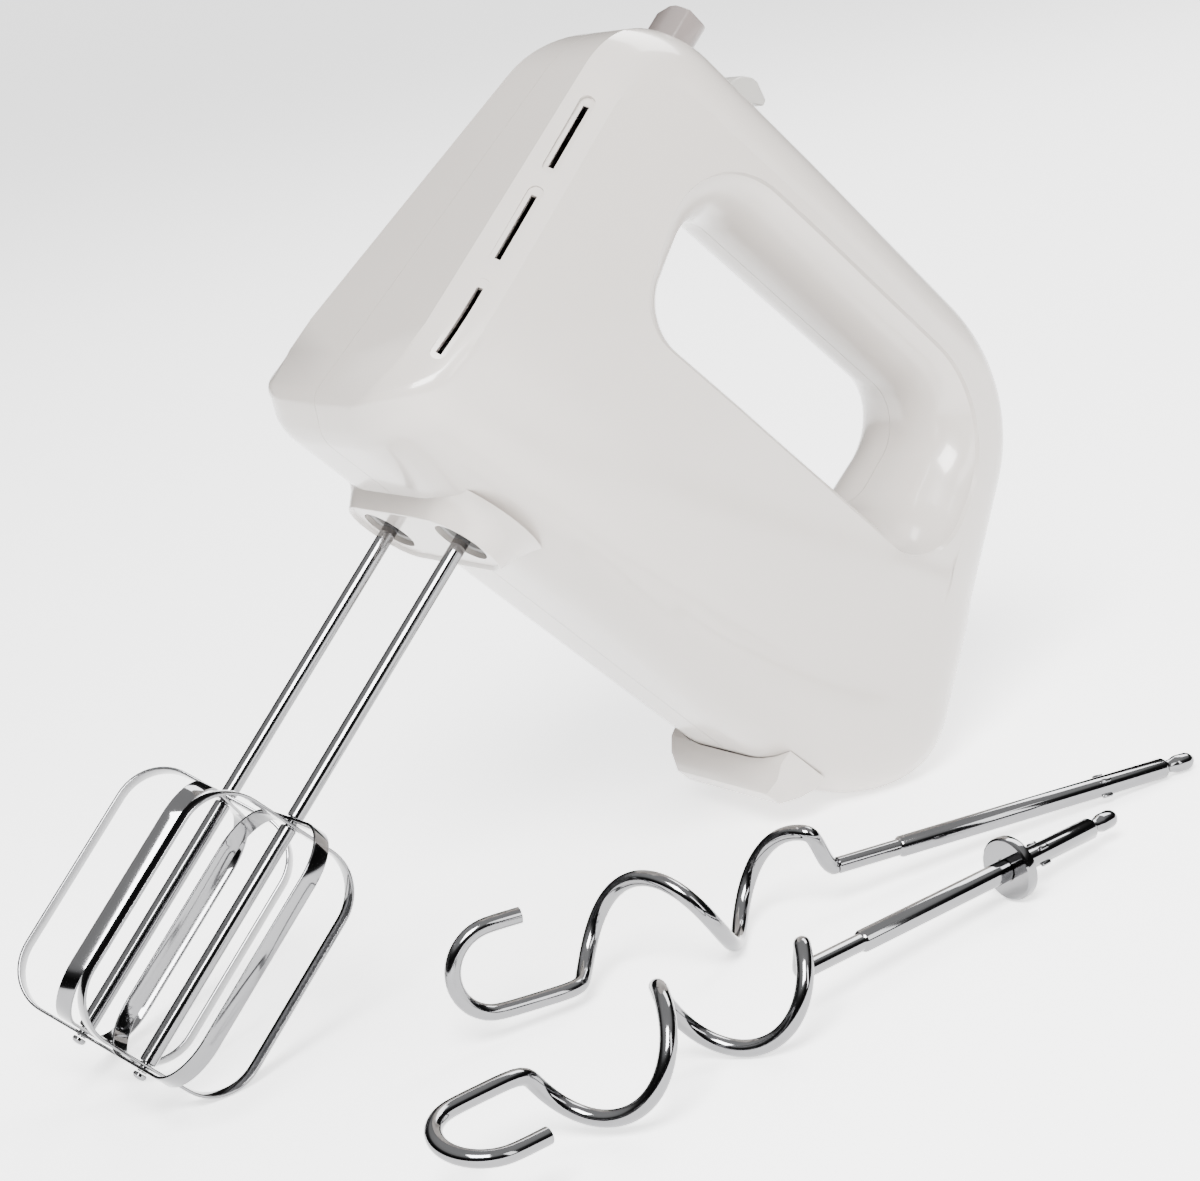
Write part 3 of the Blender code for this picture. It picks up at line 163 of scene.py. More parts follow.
class MixerSizes(bpy.types.PropertyGroup):
    """Sizes of the finishing details."""
    groove_depth: FloatProperty(
        name="Groove depth", description="Depth of the recess round each vent slot", default=0.0007,
        min=0.0002, max=0.0015, unit="LENGTH")
    groove_width: FloatProperty(
        name="Groove width", description="Width of the recess round each vent slot", default=0.0042,
        min=0.002, max=0.006, unit="LENGTH")
    slot_width: FloatProperty(
        name="Slot width", description="Width of each vent slot", default=0.0016,
        min=0.0008, max=0.0025, unit="LENGTH")
    rim_step: FloatProperty(
        name="Grip rim step", description="How far the grip's scoop drops at its rim", default=0.0011,
        min=0.0, max=0.002, unit="LENGTH")
    edge_round: FloatProperty(
        name="Edge rounding", description="Rounding on the button, slider and ledge edges", default=0.0007,
        min=0.0002, max=0.0015, unit="LENGTH")


class MixerColours(bpy.types.PropertyGroup):
    """Colours of the main finishes."""
    body: FloatVectorProperty(
        name="Body", description="Warm white plastic of the housing", subtype="COLOR", size=3,
        default=(0.47, 0.435, 0.405), min=0.0, max=1.0)
    button: FloatVectorProperty(
        name="Eject button", description="Grey-mauve plastic of the eject button", subtype="COLOR", size=3,
        default=(0.17, 0.145, 0.137), min=0.0, max=1.0)
    slider: FloatVectorProperty(
        name="Speed slider", description="Light grey plastic of the slider", subtype="COLOR", size=3,
        default=(0.33, 0.32, 0.30), min=0.0, max=1.0)
    chrome: FloatVectorProperty(
        name="Chrome", description="Plated steel of the beaters and hooks", subtype="COLOR", size=3,
        default=(0.19, 0.19, 0.195), min=0.0, max=1.0)
    floor: FloatVectorProperty(
        name="Floor", description="Pale studio floor", subtype="COLOR", size=3,
        default=(0.97, 0.97, 0.97), min=0.0, max=1.0)


# ---------------------------------------------------------------- mesh helpers

def finish_piece(bm, name, body, material, replaced=(), place=MIXER, sharp=32.0):
    """Turn a bmesh in millimetres into a finished piece that rides on a body."""
    bm.transform(place)
    mesh = bpy.data.meshes.new(name)
    bm.to_mesh(mesh)
    bm.free()
    piece = bpy.data.objects.new(name, mesh)
    bpy.context.scene.collection.objects.link(piece)
    mesh.shade_smooth()
    mesh.set_sharp_from_angle(angle=math.radians(sharp))
    mesh.materials.append(material)
    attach(piece, body)
    if replaced:
        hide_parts(*replaced)
    return piece


def fillet(corners, radii, steps):
    """Round the corners of a closed outline. Each corner gives steps[i] + 1 points."""
    points = []
    count = len(corners)
    for i, corner in enumerate(corners):
        here = Vector(corner)
        back = (Vector(corners[i - 1]) - here).normalized()
        ahead = (Vector(corners[(i + 1) % count]) - here).normalized()
        half = back.angle(ahead) / 2
        centre = here + (back + ahead).normalized() * radii[i] / math.sin(half)
        first = here + back * radii[i] / math.tan(half) - centre
        last = here + ahead * radii[i] / math.tan(half) - centre
        sweep = first.angle_signed(last)
        for k in range(steps[i] + 1):
            points.append(centre + Matrix.Rotation(-sweep * k / steps[i], 2) @ first)
    return points


def ring_edges(bm, points):
    """A closed ring of edges through points, with its vertices in order."""
    verts = [bm.verts.new(p) for p in points]
    return verts, [bm.edges.new((verts[i - 1], verts[i])) for i in range(len(verts))]


def bridge(bm, rings, closed=False):
    """Grow a skin ring by ring: each ring is extruded from the one before and moved into place.

    Gives the edges of the first and the last ring.
    """
    verts, edges = ring_edges(bm, rings[0])
    first = edges
    for ring in rings[1:] + ([rings[0]] if closed else []):
        grown = bmesh.ops.extrude_edge_only(bm, edges=edges)["geom"]
        fresh = {v for v in grown if isinstance(v, bmesh.types.BMVert)}
        after = []
        for vert, place in zip(verts, ring):
            partner = next(e.other_vert(vert) for e in vert.link_edges if e.other_vert(vert) in fresh)
            partner.co = place
            after.append(partner)
        edges = [e for e in grown if isinstance(e, bmesh.types.BMEdge) and set(e.verts) <= fresh]
        verts = after
    if closed:
        bmesh.ops.remove_doubles(bm, verts=bm.verts, dist=0.00001)
    return [first, edges]


def cap(bm, edges):
    """Close an open end with one face."""
    bmesh.ops.contextual_create(bm, geom=edges)


def prism(outline, start, end, axis="X"):
    """Extrude a closed outline along one axis. The outline's two numbers are the other axes."""
    place = {"X": lambda a, b: (start, a, b), "Y": lambda a, b: (a, start, b),
             "Z": lambda a, b: (a, b, start)}[axis]
    bm = bmesh.new()
    face = bm.faces.new([bm.verts.new(place(a, b)) for a, b in outline])
    shift = {"X": (end - start, 0, 0), "Y": (0, end - start, 0), "Z": (0, 0, end - start)}[axis]
    grown = bmesh.ops.extrude_face_region(bm, geom=[face])
    bmesh.ops.translate(bm, vec=shift, verts=[v for v in grown["geom"] if isinstance(v, bmesh.types.BMVert)])
    bmesh.ops.recalc_face_normals(bm, faces=bm.faces)
    return bm


def soften(bm, width, angle=25.0, segments=3):
    """Bevel every edge that turns more than an angle."""
    turned = [e for e in bm.edges if len(e.link_faces) == 2 and e.calc_face_angle(0) > math.radians(angle)]
    bmesh.ops.bevel(bm, geom=turned, offset=width, affect="EDGES", segments=segments, profile=0.5,
                    material=-1, clamp_overlap=True)


def spun(profile, sides=48):
    """Turn a (radius, height) profile about Z."""
    bm = bmesh.new()
    line = [bm.verts.new((radius, 0, height)) for radius, height in profile]
    edges = [bm.edges.new(pair) for pair in zip(line, line[1:])]
    bmesh.ops.spin(bm, geom=line + edges, cent=(0, 0, 0), axis=(0, 0, 1), angle=2 * math.pi, steps=sides,
                   use_merge=True)
    bmesh.ops.remove_doubles(bm, verts=bm.verts, dist=0.0005)
    bmesh.ops.recalc_face_normals(bm, faces=bm.faces)
    return bm


def moved(bm, at=(0, 0, 0), turn=None):
    """Turn a bmesh about the origin, then move it."""
    if turn is not None:
        bmesh.ops.rotate(bm, cent=(0, 0, 0), matrix=turn, verts=bm.verts)
    bmesh.ops.translate(bm, vec=at, verts=bm.verts)
    return bm


def sweep(points, section):
    """Carry a section, a list of (side, up) points, along an open path that sets out along Z."""
    rings = []
    up = Vector((1, 0, 0))
    for i, point in enumerate(points):
        along = (points[min(i + 1, len(points) - 1)] - points[max(i - 1, 0)]).normalized()
        up = (up - along * up.dot(along)).normalized()
        side = along.cross(up)
        rings.append([point + side * a + up * b for a, b in section])
    bm = bmesh.new()
    for end in bridge(bm, rings):
        cap(bm, end)
    bmesh.ops.recalc_face_normals(bm, faces=bm.faces)
    return bm


def circle(radius, sides):
    return [(radius * math.cos(2 * math.pi * k / sides), radius * math.sin(2 * math.pi * k / sides))
            for k in range(sides)]


def scratch(bm, name):
    """A helper object in millimetres, used by a Boolean and then removed."""
    mesh = bpy.data.meshes.new(name)
    bm.to_mesh(mesh)
    bm.free()
    made = bpy.data.objects.new(name, mesh)
    bpy.context.scene.collection.objects.link(made)
    return made


def carve(bm, tools):
    """Apply Booleans to a bmesh: each tool is (bmesh, operation)."""
    work = scratch(bm, "carve_work")
    made = []
    for tool, operation in tools:
        other = scratch(tool, "carve_tool")
        made.append(other)
        step = work.modifiers.new("cut", "BOOLEAN")
        step.operation = operation
        step.solver = "EXACT"
        step.object = other
    bpy.context.view_layer.update()
    result = bmesh.new()
    result.from_mesh(work.evaluated_get(bpy.context.evaluated_depsgraph_get()).to_mesh())
    for old in [work] + made:
        mesh = old.data
        bpy.data.objects.remove(old, do_unlink=True)
        bpy.data.meshes.remove(mesh)
    return result


# ---------------------------------------------------------------- finishes

GRAIN_SCALE = 2600.0
LINE_SCALE = 900.0


def new_group(name, inputs, outputs):
    """A node group with its sockets, and its input and output nodes."""
    group = bpy.data.node_groups.new(name, "ShaderNodeTree")
    for label, kind, value in inputs:
        socket = group.interface.new_socket(name=label, in_out="INPUT", socket_type=kind)
        socket.default_value = value
    for label, kind in outputs:
        group.interface.new_socket(name=label, in_out="OUTPUT", socket_type=kind)
    return group, group.nodes.new("NodeGroupInput"), group.nodes.new("NodeGroupOutput")


def noise_node(tree, scale, detail):
    noise = tree.nodes.new("ShaderNodeTexNoise")
    noise.inputs["Detail"].default_value = detail
    noise.inputs["Scale"].default_value = scale
    return noise


def range_node(tree, low, high, source):
    """Spread the middle of a noise's range over low to high."""
    node = tree.nodes.new("ShaderNodeMapRange")
    node.inputs["From Min"].default_value = 0.3
    node.inputs["From Max"].default_value = 0.7
    node.inputs["To Min"].default_value = low
    node.inputs["To Max"].default_value = high
    tree.links.new(source, node.inputs["Value"])
    return node.outputs["Result"]


def math_node(tree, operation, *values):
    """A Math node's output. Each value is a number or another node's output."""
    node = tree.nodes.new("ShaderNodeMath")
    node.operation = operation
    for socket, value in zip(node.inputs, values):
        if isinstance(value, float):
            socket.default_value = value
        else:
            tree.links.new(value, socket)
    return node.outputs[0]


def tint_node(tree, color, value, sink):
    """Scale a colour's brightness and send it to the group's Color."""
    tint = tree.nodes.new("ShaderNodeHueSaturation")
    tree.links.new(value, tint.inputs["Value"])
    tree.links.new(color, tint.inputs["Color"])
    tree.links.new(tint.outputs["Color"], sink.inputs["Color"])


def moulded_group():
    """Moulded plastic: a faint tint drift, a fine surface height and a roughness drift."""
    inputs = [("Grain Scale", "NodeSocketFloat", GRAIN_SCALE), ("Tint", "NodeSocketFloat", 0.02),
              ("Roughness", "NodeSocketFloat", 0.25), ("Color", "NodeSocketColor", (0.8, 0.8, 0.8, 1.0))]
    outputs = [("Color", "NodeSocketColor"), ("Roughness", "NodeSocketFloat"), ("Height", "NodeSocketFloat")]
    group, source, sink = new_group("moulded_plastic", inputs, outputs)
    where = group.nodes.new("ShaderNodeTexCoord")
    broad = noise_node(group, 16.0, 3.0)
    fine = noise_node(group, GRAIN_SCALE, 2.0)
    wave = noise_node(group, 120.0, 1.0)
    for node in (broad, fine, wave):
        group.links.new(where.outputs["Object"], node.inputs["Vector"])
    group.links.new(source.outputs["Grain Scale"], fine.inputs["Scale"])
    drift = range_node(group, -1.0, 1.0, broad.outputs["Fac"])
    amount = math_node(group, "MULTIPLY", drift, source.outputs["Tint"])
    tint_node(group, source.outputs["Color"], math_node(group, "ADD", amount, 1.0), sink)
    rough = math_node(group, "MULTIPLY_ADD", drift, 0.02, source.outputs["Roughness"])
    group.links.new(rough, sink.inputs["Roughness"])
    height = math_node(group, "MULTIPLY_ADD", wave.outputs["Fac"], 0.6, fine.outputs["Fac"])
    group.links.new(height, sink.inputs["Height"])
    return group


def metal_group():
    """Metal: a fine surface height, a roughness drift and a slight tint drift."""
    inputs = [("Line Scale", "NodeSocketFloat", LINE_SCALE), ("Roughness", "NodeSocketFloat", 0.1),
              ("Spread", "NodeSocketFloat", 0.04), ("Color", "NodeSocketColor", (0.8, 0.8, 0.8, 1.0))]
    outputs = [("Color", "NodeSocketColor"), ("Roughness", "NodeSocketFloat"), ("Height", "NodeSocketFloat")]
    group, source, sink = new_group("worked_metal", inputs, outputs)
    where = group.nodes.new("ShaderNodeTexCoord")
    lines = noise_node(group, LINE_SCALE, 2.0)
    cloud = noise_node(group, 45.0, 3.0)
    for node in (lines, cloud):
        group.links.new(where.outputs["Object"], node.inputs["Vector"])
    group.links.new(source.outputs["Line Scale"], lines.inputs["Scale"])
    drift = range_node(group, -1.0, 1.0, cloud.outputs["Fac"])
    rough = math_node(group, "MULTIPLY_ADD", drift, source.outputs["Spread"], source.outputs["Roughness"])
    group.links.new(rough, sink.inputs["Roughness"])
    tint_node(group, source.outputs["Color"], range_node(group, 0.96, 1.04, cloud.outputs["Fac"]), sink)
    group.links.new(lines.outputs["Fac"], sink.inputs["Height"])
    return group


def finish_material(name, group, color, settings, shader_values, bump):
    """A material around one of the groups.

    Settings go to the group and shader_values to the shader. bump is its strength and distance.
    """
    found = bpy.data.materials.new(name)
    found.use_nodes = True
    tree = found.node_tree
    shader = tree.nodes["Principled BSDF"]
    pattern = tree.nodes.new("ShaderNodeGroup")
    pattern.node_tree = group
    pattern.inputs["Color"].default_value = (*color, 1.0)
    for key, value in settings.items():
        pattern.inputs[key].default_value = value
    for key, value in shader_values.items():
        shader.inputs[key].default_value = value
    tree.links.new(pattern.outputs["Color"], shader.inputs["Base Color"])
    tree.links.new(pattern.outputs["Roughness"], shader.inputs["Roughness"])
    raised = tree.nodes.new("ShaderNodeBump")
    raised.inputs["Strength"].default_value = bump[0]
    raised.inputs["Distance"].default_value = bump[1]
    tree.links.new(pattern.outputs["Height"], raised.inputs["Height"])
    tree.links.new(raised.outputs["Normal"], shader.inputs["Normal"])
    return found


FINISHES = {}


def make_finishes(colours):
    """Build every finish once."""
    if FINISHES:
        return FINISHES
    plastic, metal = moulded_group(), metal_group()
    plain = {"Specular IOR Level": 0.5}
    gloss = {"Coat Weight": 0.5, "Coat Roughness": 0.06}

    def add_plastic(name, color, rough, tint=0.015, values=plain, bump=(0.05, 0.00004), grain=GRAIN_SCALE):
        settings = {"Roughness": rough, "Tint": tint, "Grain Scale": grain}
        FINISHES[name] = finish_material(name, plastic, color, settings, values, bump)

    def add_metal(name, color, rough, spread=0.03, bump=(0.03, 0.00002), lines=LINE_SCALE):
        settings = {"Roughness": rough, "Spread": spread, "Line Scale": lines}
        FINISHES[name] = finish_material(name, metal, color, settings, {"Metallic": 1.0}, bump)

    add_plastic("body_plastic", colours.body, 0.24, values=gloss)
    add_plastic("button_plastic", colours.button, 0.3, values=gloss)
    add_plastic("slider_plastic", colours.slider, 0.32)
    add_plastic("liner_plastic", (0.20, 0.195, 0.19), 0.45)
    add_plastic("black_plastic", (0.03, 0.03, 0.033), 0.45, bump=(0.15, 0.00006), grain=1500.0)
    add_plastic("nylon", (0.86, 0.85, 0.80), 0.45, bump=(0.1, 0.00005))
    add_plastic("frame_plastic", (0.55, 0.54, 0.52), 0.5, bump=(0.2, 0.00008), grain=1200.0)
    add_plastic("carbon", (0.045, 0.045, 0.05), 0.7, bump=(0.3, 0.00008), grain=1800.0)
    add_plastic("board_laminate", (0.06, 0.22, 0.10), 0.4, tint=0.06)
    add_metal("chrome", colours.chrome, 0.085, 0.02, (0.015, 0.00001), 260.0)
    add_metal("steel", (0.55, 0.56, 0.58), 0.3)
    add_metal("laminated_steel", (0.42, 0.43, 0.45), 0.48, 0.08, (0.3, 0.00005), 1400.0)
    add_metal("copper", (0.68, 0.30, 0.15), 0.32, 0.06, (0.4, 0.00008), 1100.0)
    add_metal("bronze", (0.58, 0.42, 0.22), 0.4, 0.06)
    return FINISHES


# ---------------------------------------------------------------- housing shape

CORNER_STEPS = 18
EDGE_POINTS = 9
ROUND_STEPS = 12
SIDE_RINGS = 16
SCOOP_STEPS = 14
WALL_STEPS = (6, 2, 6)        # the wall's inner face has fewer rings
WALL = 2.2
SHOULDER_EASE = 6.0
SHOULDER_SHIFT = 0.4
CROWN_END = 125.0             # where the crown's line meets the rear face's
FACET_RADII = [6.0, 9.0]
FLAT_RADII = [9.0, 16.0, 22.0, 20.0]
SCOOP_BELOW = 6.0
SCOOP_ABOVE = 12.0
SCOOP_RADII = [14.0, 20.0, 32.0, 26.0]
SCOOP_BREAK = math.radians(12)    # the angle of the crease at the grip's edge
SCOOP_RIM = 0.05              # the rim's share of the way from the scoop's edge to the opening
FRONT_FLATNESS = 0.8          # 0 rounds the front's corner, 1 cuts it flat
CHAMFER_SHARE = 0.459         # from the front's corner to the chamfer's middle, over ROUND_FRONT
CHAMFER_FACING = (1, -1, 0.12)


def front_line(height):
    return BODY_FRONT + FRONT_LEAN * (height - FACET_TOP)


def rear_line(height):
    return BODY_REAR - REAR_LEAN * (height - BODY_FLOOR)


def top_line(y):
    return BODY_TOP - TOP_LEAN * (y - BODY_FRONT)


def side_width(y, z):
    """Half width of the body: the sides close in over an eased shoulder, and step in over the crease."""
    over = z - SHOULDER
    eased = 0.5 * (over + math.sqrt(over * over + SHOULDER_EASE ** 2))
    narrowing = SIDE_LEAN * max(0.0, eased - SHOULDER_SHIFT) + REAR_TAPER * max(0.0, y - SHOULDER)
    above = min(1.0, max(0.0, (z - CREASE_HEIGHT - CREASE_RISE * y) / CREASE_RUN))
    return BODY_HALF_WIDTH - narrowing - CREASE_STEP * above * above * (3 - 2 * above)


def spread_quad(points):
    """Add even points on the four straight runs between the corner arcs."""
    corner = CORNER_STEPS + 1
    breaks = {corner - 1, 2 * corner - 1, 3 * corner - 1, 4 * corner - 1}
    out = []
    for i, point in enumerate(points):
        out.append(point)
        if i in breaks:
            after = points[(i + 1) % len(points)]
            out += [point.lerp(after, (k + 1) / (EDGE_POINTS + 1)) for k in range(EDGE_POINTS)]
    return out


def rounded_quad(corners, radii):
    return spread_quad(fillet(corners, radii, [CORNER_STEPS] * 4))


def body_outline():
    """The body from the side."""
    corners = [(BODY_FRONT, FACET_TOP), (BODY_FRONT + FACET_RUN, BODY_FLOOR), (BODY_REAR, BODY_FLOOR),
               (rear_line(top_line(CROWN_END)), top_line(CROWN_END)), (front_line(BODY_TOP), BODY_TOP)]
    half = CORNER_STEPS // 2
    steps = [half - 1, half, CORNER_STEPS, CORNER_STEPS, CORNER_STEPS]
    return spread_quad(fillet(corners, FACET_RADII + [HEEL_RADIUS, REAR_TOP_RADIUS, FRONT_TOP_RADIUS], steps))


def flat_outline():
    """The edge of the side's flat field, where the rounding round the body ends."""
    toe, heel, high = BODY_FLOOR + ROUND_TOE, BODY_FLOOR + ROUND_UNDER, BODY_TOP - ROUND_TOP
    corners = [(front_line(toe) + ROUND_FRONT, toe), (rear_line(heel) - ROUND_HEEL, heel),
               (rear_line(high) - ROUND_REAR, high), (front_line(high) + ROUND_FRONT, high)]
    return rounded_quad(corners, FLAT_RADII)


def scoop_outline():
    """The edge of the grip's scoop round the opening."""
    low, high = OPENING_BOTTOM - SCOOP_BELOW, OPENING_TOP + SCOOP_ABOVE
    corners = [(OPENING_FRONT - 8.0, low), (OPENING_REAR + 14.0, low), (OPENING_REAR + 14.5, high),
               (OPENING_FRONT - 16.0, high)]
    return rounded_quad(corners, SCOOP_RADII)


def opening_outline():
    corners = [(OPENING_FRONT, OPENING_BOTTOM), (OPENING_REAR, OPENING_BOTTOM), (OPENING_REAR, OPENING_TOP),
               (OPENING_FRONT, OPENING_TOP)]
    return rounded_quad(corners, [OPENING_RADIUS] * 4)


def facing(outline):
    """Weights for how far each outline point faces down, back, up and forward."""
    weights = []
    for i in range(len(outline)):
        along = (outline[(i + 1) % len(outline)] - outline[i - 1]).normalized()
        weights.append((max(0.0, along.x) ** 2, max(0.0, along.y) ** 2, max(0.0, -along.x) ** 2,
                        max(0.0, -along.y) ** 2))
    return weights


def offset(outline, amount):
    """Move each point of an outline outwards by an amount; negative amounts shrink it."""
    moved_points = []
    for i, point in enumerate(outline):
        along = (outline[(i + 1) % len(outline)] - outline[i - 1]).normalized()
        moved_points.append(point + Vector((along.y, -along.x)) * amount)
    return moved_points


def skin_rings(rim_step, inset=0.0, steps=(ROUND_STEPS, SIDE_RINGS, SCOOP_STEPS)):
    """Rings over half of the body, from its seam over the side to the opening's seam.

    An inset gives the wall's inner face: the same rings held in from the outside by the wall.
    """
    round_steps, side_rings, scoop_steps = steps
    rims = body_outline()
    weights = facing(rims)
    outer, flat = offset(rims, -inset), flat_outline()
    scoop, opening = offset(scoop_outline(), inset * 0.4), offset(opening_outline(), inset)
    rings = [[(SEAM, p.x, p.y) for p in outer], [(SEAM_LAND, p.x, p.y) for p in outer]]
    for k in range(round_steps + 1):
        share = k / round_steps
        swing = math.pi / 2 * share
        ring = []
        for rim, inner, (under, rear, top, front) in zip(outer, flat, weights):
            deep = ROUND_UNDER * under + ROUND_REAR * rear + ROUND_TOP * top + ROUND_FRONT * front
            foot = max(0.0, (rim.y - FOOT_TOP) / (BODY_FLOOR - FOOT_TOP)) ** 1.6
            deep += FRONT_FOOT * foot * front
            flatness = FRONT_FLATNESS * front * (1 - min(1.0, foot * 1.5))
            across = (1 - math.cos(swing)) * (1 - flatness) + share * flatness
            out = math.sin(swing) * (1 - flatness) + share * flatness
            place = rim.lerp(inner, across)
            ring.append((side_width(inner.x, inner.y) - deep + (deep - inset) * out, place.x, place.y))
        rings.append(ring)
    for k in range(side_rings):
        places = [a.lerp(b, (k + 1) / (side_rings + 1)) for a, b in zip(flat, scoop)]
        rings.append([(side_width(p.x, p.y) - inset, p.x, p.y) for p in places])
    rings.append([(side_width(p.x, p.y) - inset, p.x, p.y) for p in scoop])
    for k in range(scoop_steps + 1):
        swing = SCOOP_BREAK + (math.pi / 2 - SCOOP_BREAK) * k / scoop_steps
        turned = (1 - SCOOP_RIM) * (math.sin(swing) - math.sin(SCOOP_BREAK))
        across = SCOOP_RIM + turned / (1 - math.sin(SCOOP_BREAK))
        ring = []
        for rim, hole in zip(scoop, opening):
            place = rim.lerp(hole, across)
            span = side_width(rim.x, rim.y) - SEAM_LAND - rim_step - inset
            ring.append((SEAM_LAND + span * math.cos(swing) / math.cos(SCOOP_BREAK), place.x, place.y))
        rings.append(ring)
    rings.append([(SEAM, p.x, p.y) for p in opening])
    return rings


def chamfer_place(height):
    """The middle of the front chamfer at a height."""
    cut = CHAMFER_SHARE * ROUND_FRONT
    return Vector((side_width(BODY_FRONT + ROUND_FRONT, height) - cut, front_line(height) + cut, height))


def chamfer_bar(side, low, high, width, lift, sink, round_ends=True):
    """A cutter that follows the front chamfer between two heights, with round or square ends.

    It stands out of the chamfer by lift and goes in by sink.
    """
    out = Vector(CHAMFER_FACING).normalized()
    radius = width / 2 if round_ends else 0.0
    swings = [math.pi / 2 * k / 6 for k in range(7)] if round_ends else [math.pi / 2]
    stops = [(low + radius * (1 - math.cos(swing)), max(0.1, math.sin(swing))) for swing in swings]
    ends = [(low + high - height, share) for height, share in stops]
    count = max(2, int((high - low) / 2.5))
    middle = [(low + radius + (high - low - 2 * radius) * k / count, 1.0) for k in range(1, count)]
    rings = []
    for height, share in stops + middle + ends[::-1]:
        place = chamfer_place(height)
        along = (chamfer_place(height + 0.5) - chamfer_place(height - 0.5)).normalized()
        across = out.cross(along).normalized() * width / 2 * share
        rings.append([place - across - out * sink, place + across - out * sink, place + across + out * lift,
                      place - across + out * lift])
    bm = bmesh.new()
    for end in bridge(bm, rings):
        cap(bm, end)
    if side < 0:
        bm.transform(Matrix.Diagonal((-1, 1, 1, 1)))
    bmesh.ops.recalc_face_normals(bm, faces=bm.faces)
    return bm


SCREW_PLACES = ((BODY_FRONT + 15.5, 20.0), (front_line(OPENING_TOP) + 11.0, OPENING_TOP - 2.0),
                (BODY_REAR - 32.0, 26.5), (OPENING_REAR + 15.5, OPENING_TOP - 6.0))


def stadium(half_length, half_width, steps=14):
    """An outline with two straight sides and round ends."""
    run = half_length - half_width
    points = []
    for end in (1, -1):
        for k in range(steps + 1):
            angle = -math.pi / 2 + math.pi * k / steps
            points.append((end * (run + half_width * math.cos(angle)), end * half_width * math.sin(angle)))
    return points


def rod_tool(radius, start, end, at, axis="Z", sides=40):
    """A rod along an axis; at gives its place on the other two."""
    bm = bmesh.new()
    bmesh.ops.create_cone(bm, cap_ends=True, segments=sides, radius1=radius, radius2=radius,
                          depth=end - start)
    turn = {"X": Matrix.Rotation(math.pi / 2, 3, "Y"), "Y": Matrix.Rotation(-math.pi / 2, 3, "X"),
            "Z": Matrix.Identity(3)}[axis]
    middle = (start + end) / 2
    return moved(bm, {"X": (middle, *at), "Y": (at[0], middle, at[1]), "Z": (*at, middle)}[axis], turn)


def box_tool(low, high):
    """A box between two corners."""
    bm = bmesh.new()
    bmesh.ops.create_cube(bm, size=1.0)
    bmesh.ops.scale(bm, vec=[b - a for a, b in zip(low, high)], verts=bm.verts)
    return moved(bm, [(a + b) / 2 for a, b in zip(low, high)])


def socket_tool(side):
    """A cutter for one beater's socket."""
    return rod_tool(SOCKET_RADIUS, -3, 14, (side * SHAFT_SIDE, 0)), "DIFFERENCE"


def housing_mesh(side, sizes):
    """A half: its skin, the wall's inner face behind it, and its vents and openings."""
    bm = bmesh.new()
    outside = skin_rings(sizes.rim_step / MM)
    inside = skin_rings(sizes.rim_step / MM, WALL, WALL_STEPS)
    bridge(bm, outside + inside[::-1], closed=True)
    if side < 0:
        bm.transform(Matrix.Diagonal((-1, 1, 1, 1)))
    bmesh.ops.recalc_face_normals(bm, faces=bm.faces)
    tools = []
    for k in range(3):
        middle = VENT_LOWEST + VENT_PITCH * k
        recess = chamfer_bar(side, middle - 11.8, middle + 12.6, sizes.groove_width / MM, lift=3.0,
                             sink=sizes.groove_depth / MM)
        slot = chamfer_bar(side, middle - VENT_LENGTH / 2, middle + VENT_LENGTH / 2, sizes.slot_width / MM,
                           lift=6.0, sink=6.0, round_ends=False)
        tools += [(recess, "DIFFERENCE"), (slot, "DIFFERENCE")]
    tools.append(socket_tool(side))
    half = BUTTON_HALF_WIDTH + GAP
    button_window = box_tool((-half, BUTTON_FRONT - GAP, 126), (half, BUTTON_REAR + GAP, 160))
    half = STEM_HALF_WIDTH + GAP
    slider_slot = box_tool((-half, STEM_FRONT - GAP, 138), (half, STEM_REAR + SLIDER_TRAVEL + GAP, 151))
    rear = rear_line(INLET_HEIGHT)
    inlet = rod_tool(INLET_RADIUS, rear - 12, rear + 8, (0, INLET_HEIGHT), "Y")
    tools += [(button_window, "DIFFERENCE"), (slider_slot, "DIFFERENCE"), (inlet, "DIFFERENCE")]
    if side < 0:
        for y, z in SCREW_PLACES:
            wall = side_width(y, z)
            tools.append((rod_tool(3.3, -wall - 6, -wall + 9, (y, z), "X", 32), "DIFFERENCE"))
    return carve(bm, tools)


# ---------------------------------------------------------------- operators

class PieceOperator:
    """What the piece operators share."""
    bl_options = {"REGISTER", "UNDO"}

    def execute(self, context):
        self.sizes = context.scene.mixer_sizes
        self.finish = make_finishes(context.scene.mixer_colours)
        self.build()
        return {"FINISHED"}


class MIXER_OT_housing(PieceOperator, bpy.types.Operator):
    """Make the two moulded halves of the body, with the grip, vents and openings"""
    bl_idname = "mixer.housing"
    bl_label = "Housing halves"

    def build(self):
        for word, side in SIDES:
            bm = housing_mesh(side, self.sizes)
            finish_piece(bm, f"{word}_shell", "body", self.finish["body_plastic"], [f"{word}_housing"],
                         sharp=24.0)


COLLAR_PROFILE = ((0.9, -1.4), (0.25, -0.8), (0.0, -0.4), (0.12, 0.0), (0.6, 0.2), (2.5, 1.0), (4.5, 1.9),
                  (6.0, 3.0), (7.6, 4.6), (9.0, 6.8))    # height, flare
BUSH_PROFILE = [(7.15, 2.2), (7.15, 9.8), (5.2, 9.8), (5.2, 3.4), (5.6, 2.4), (6.4, 2.2), (7.15, 2.2)]


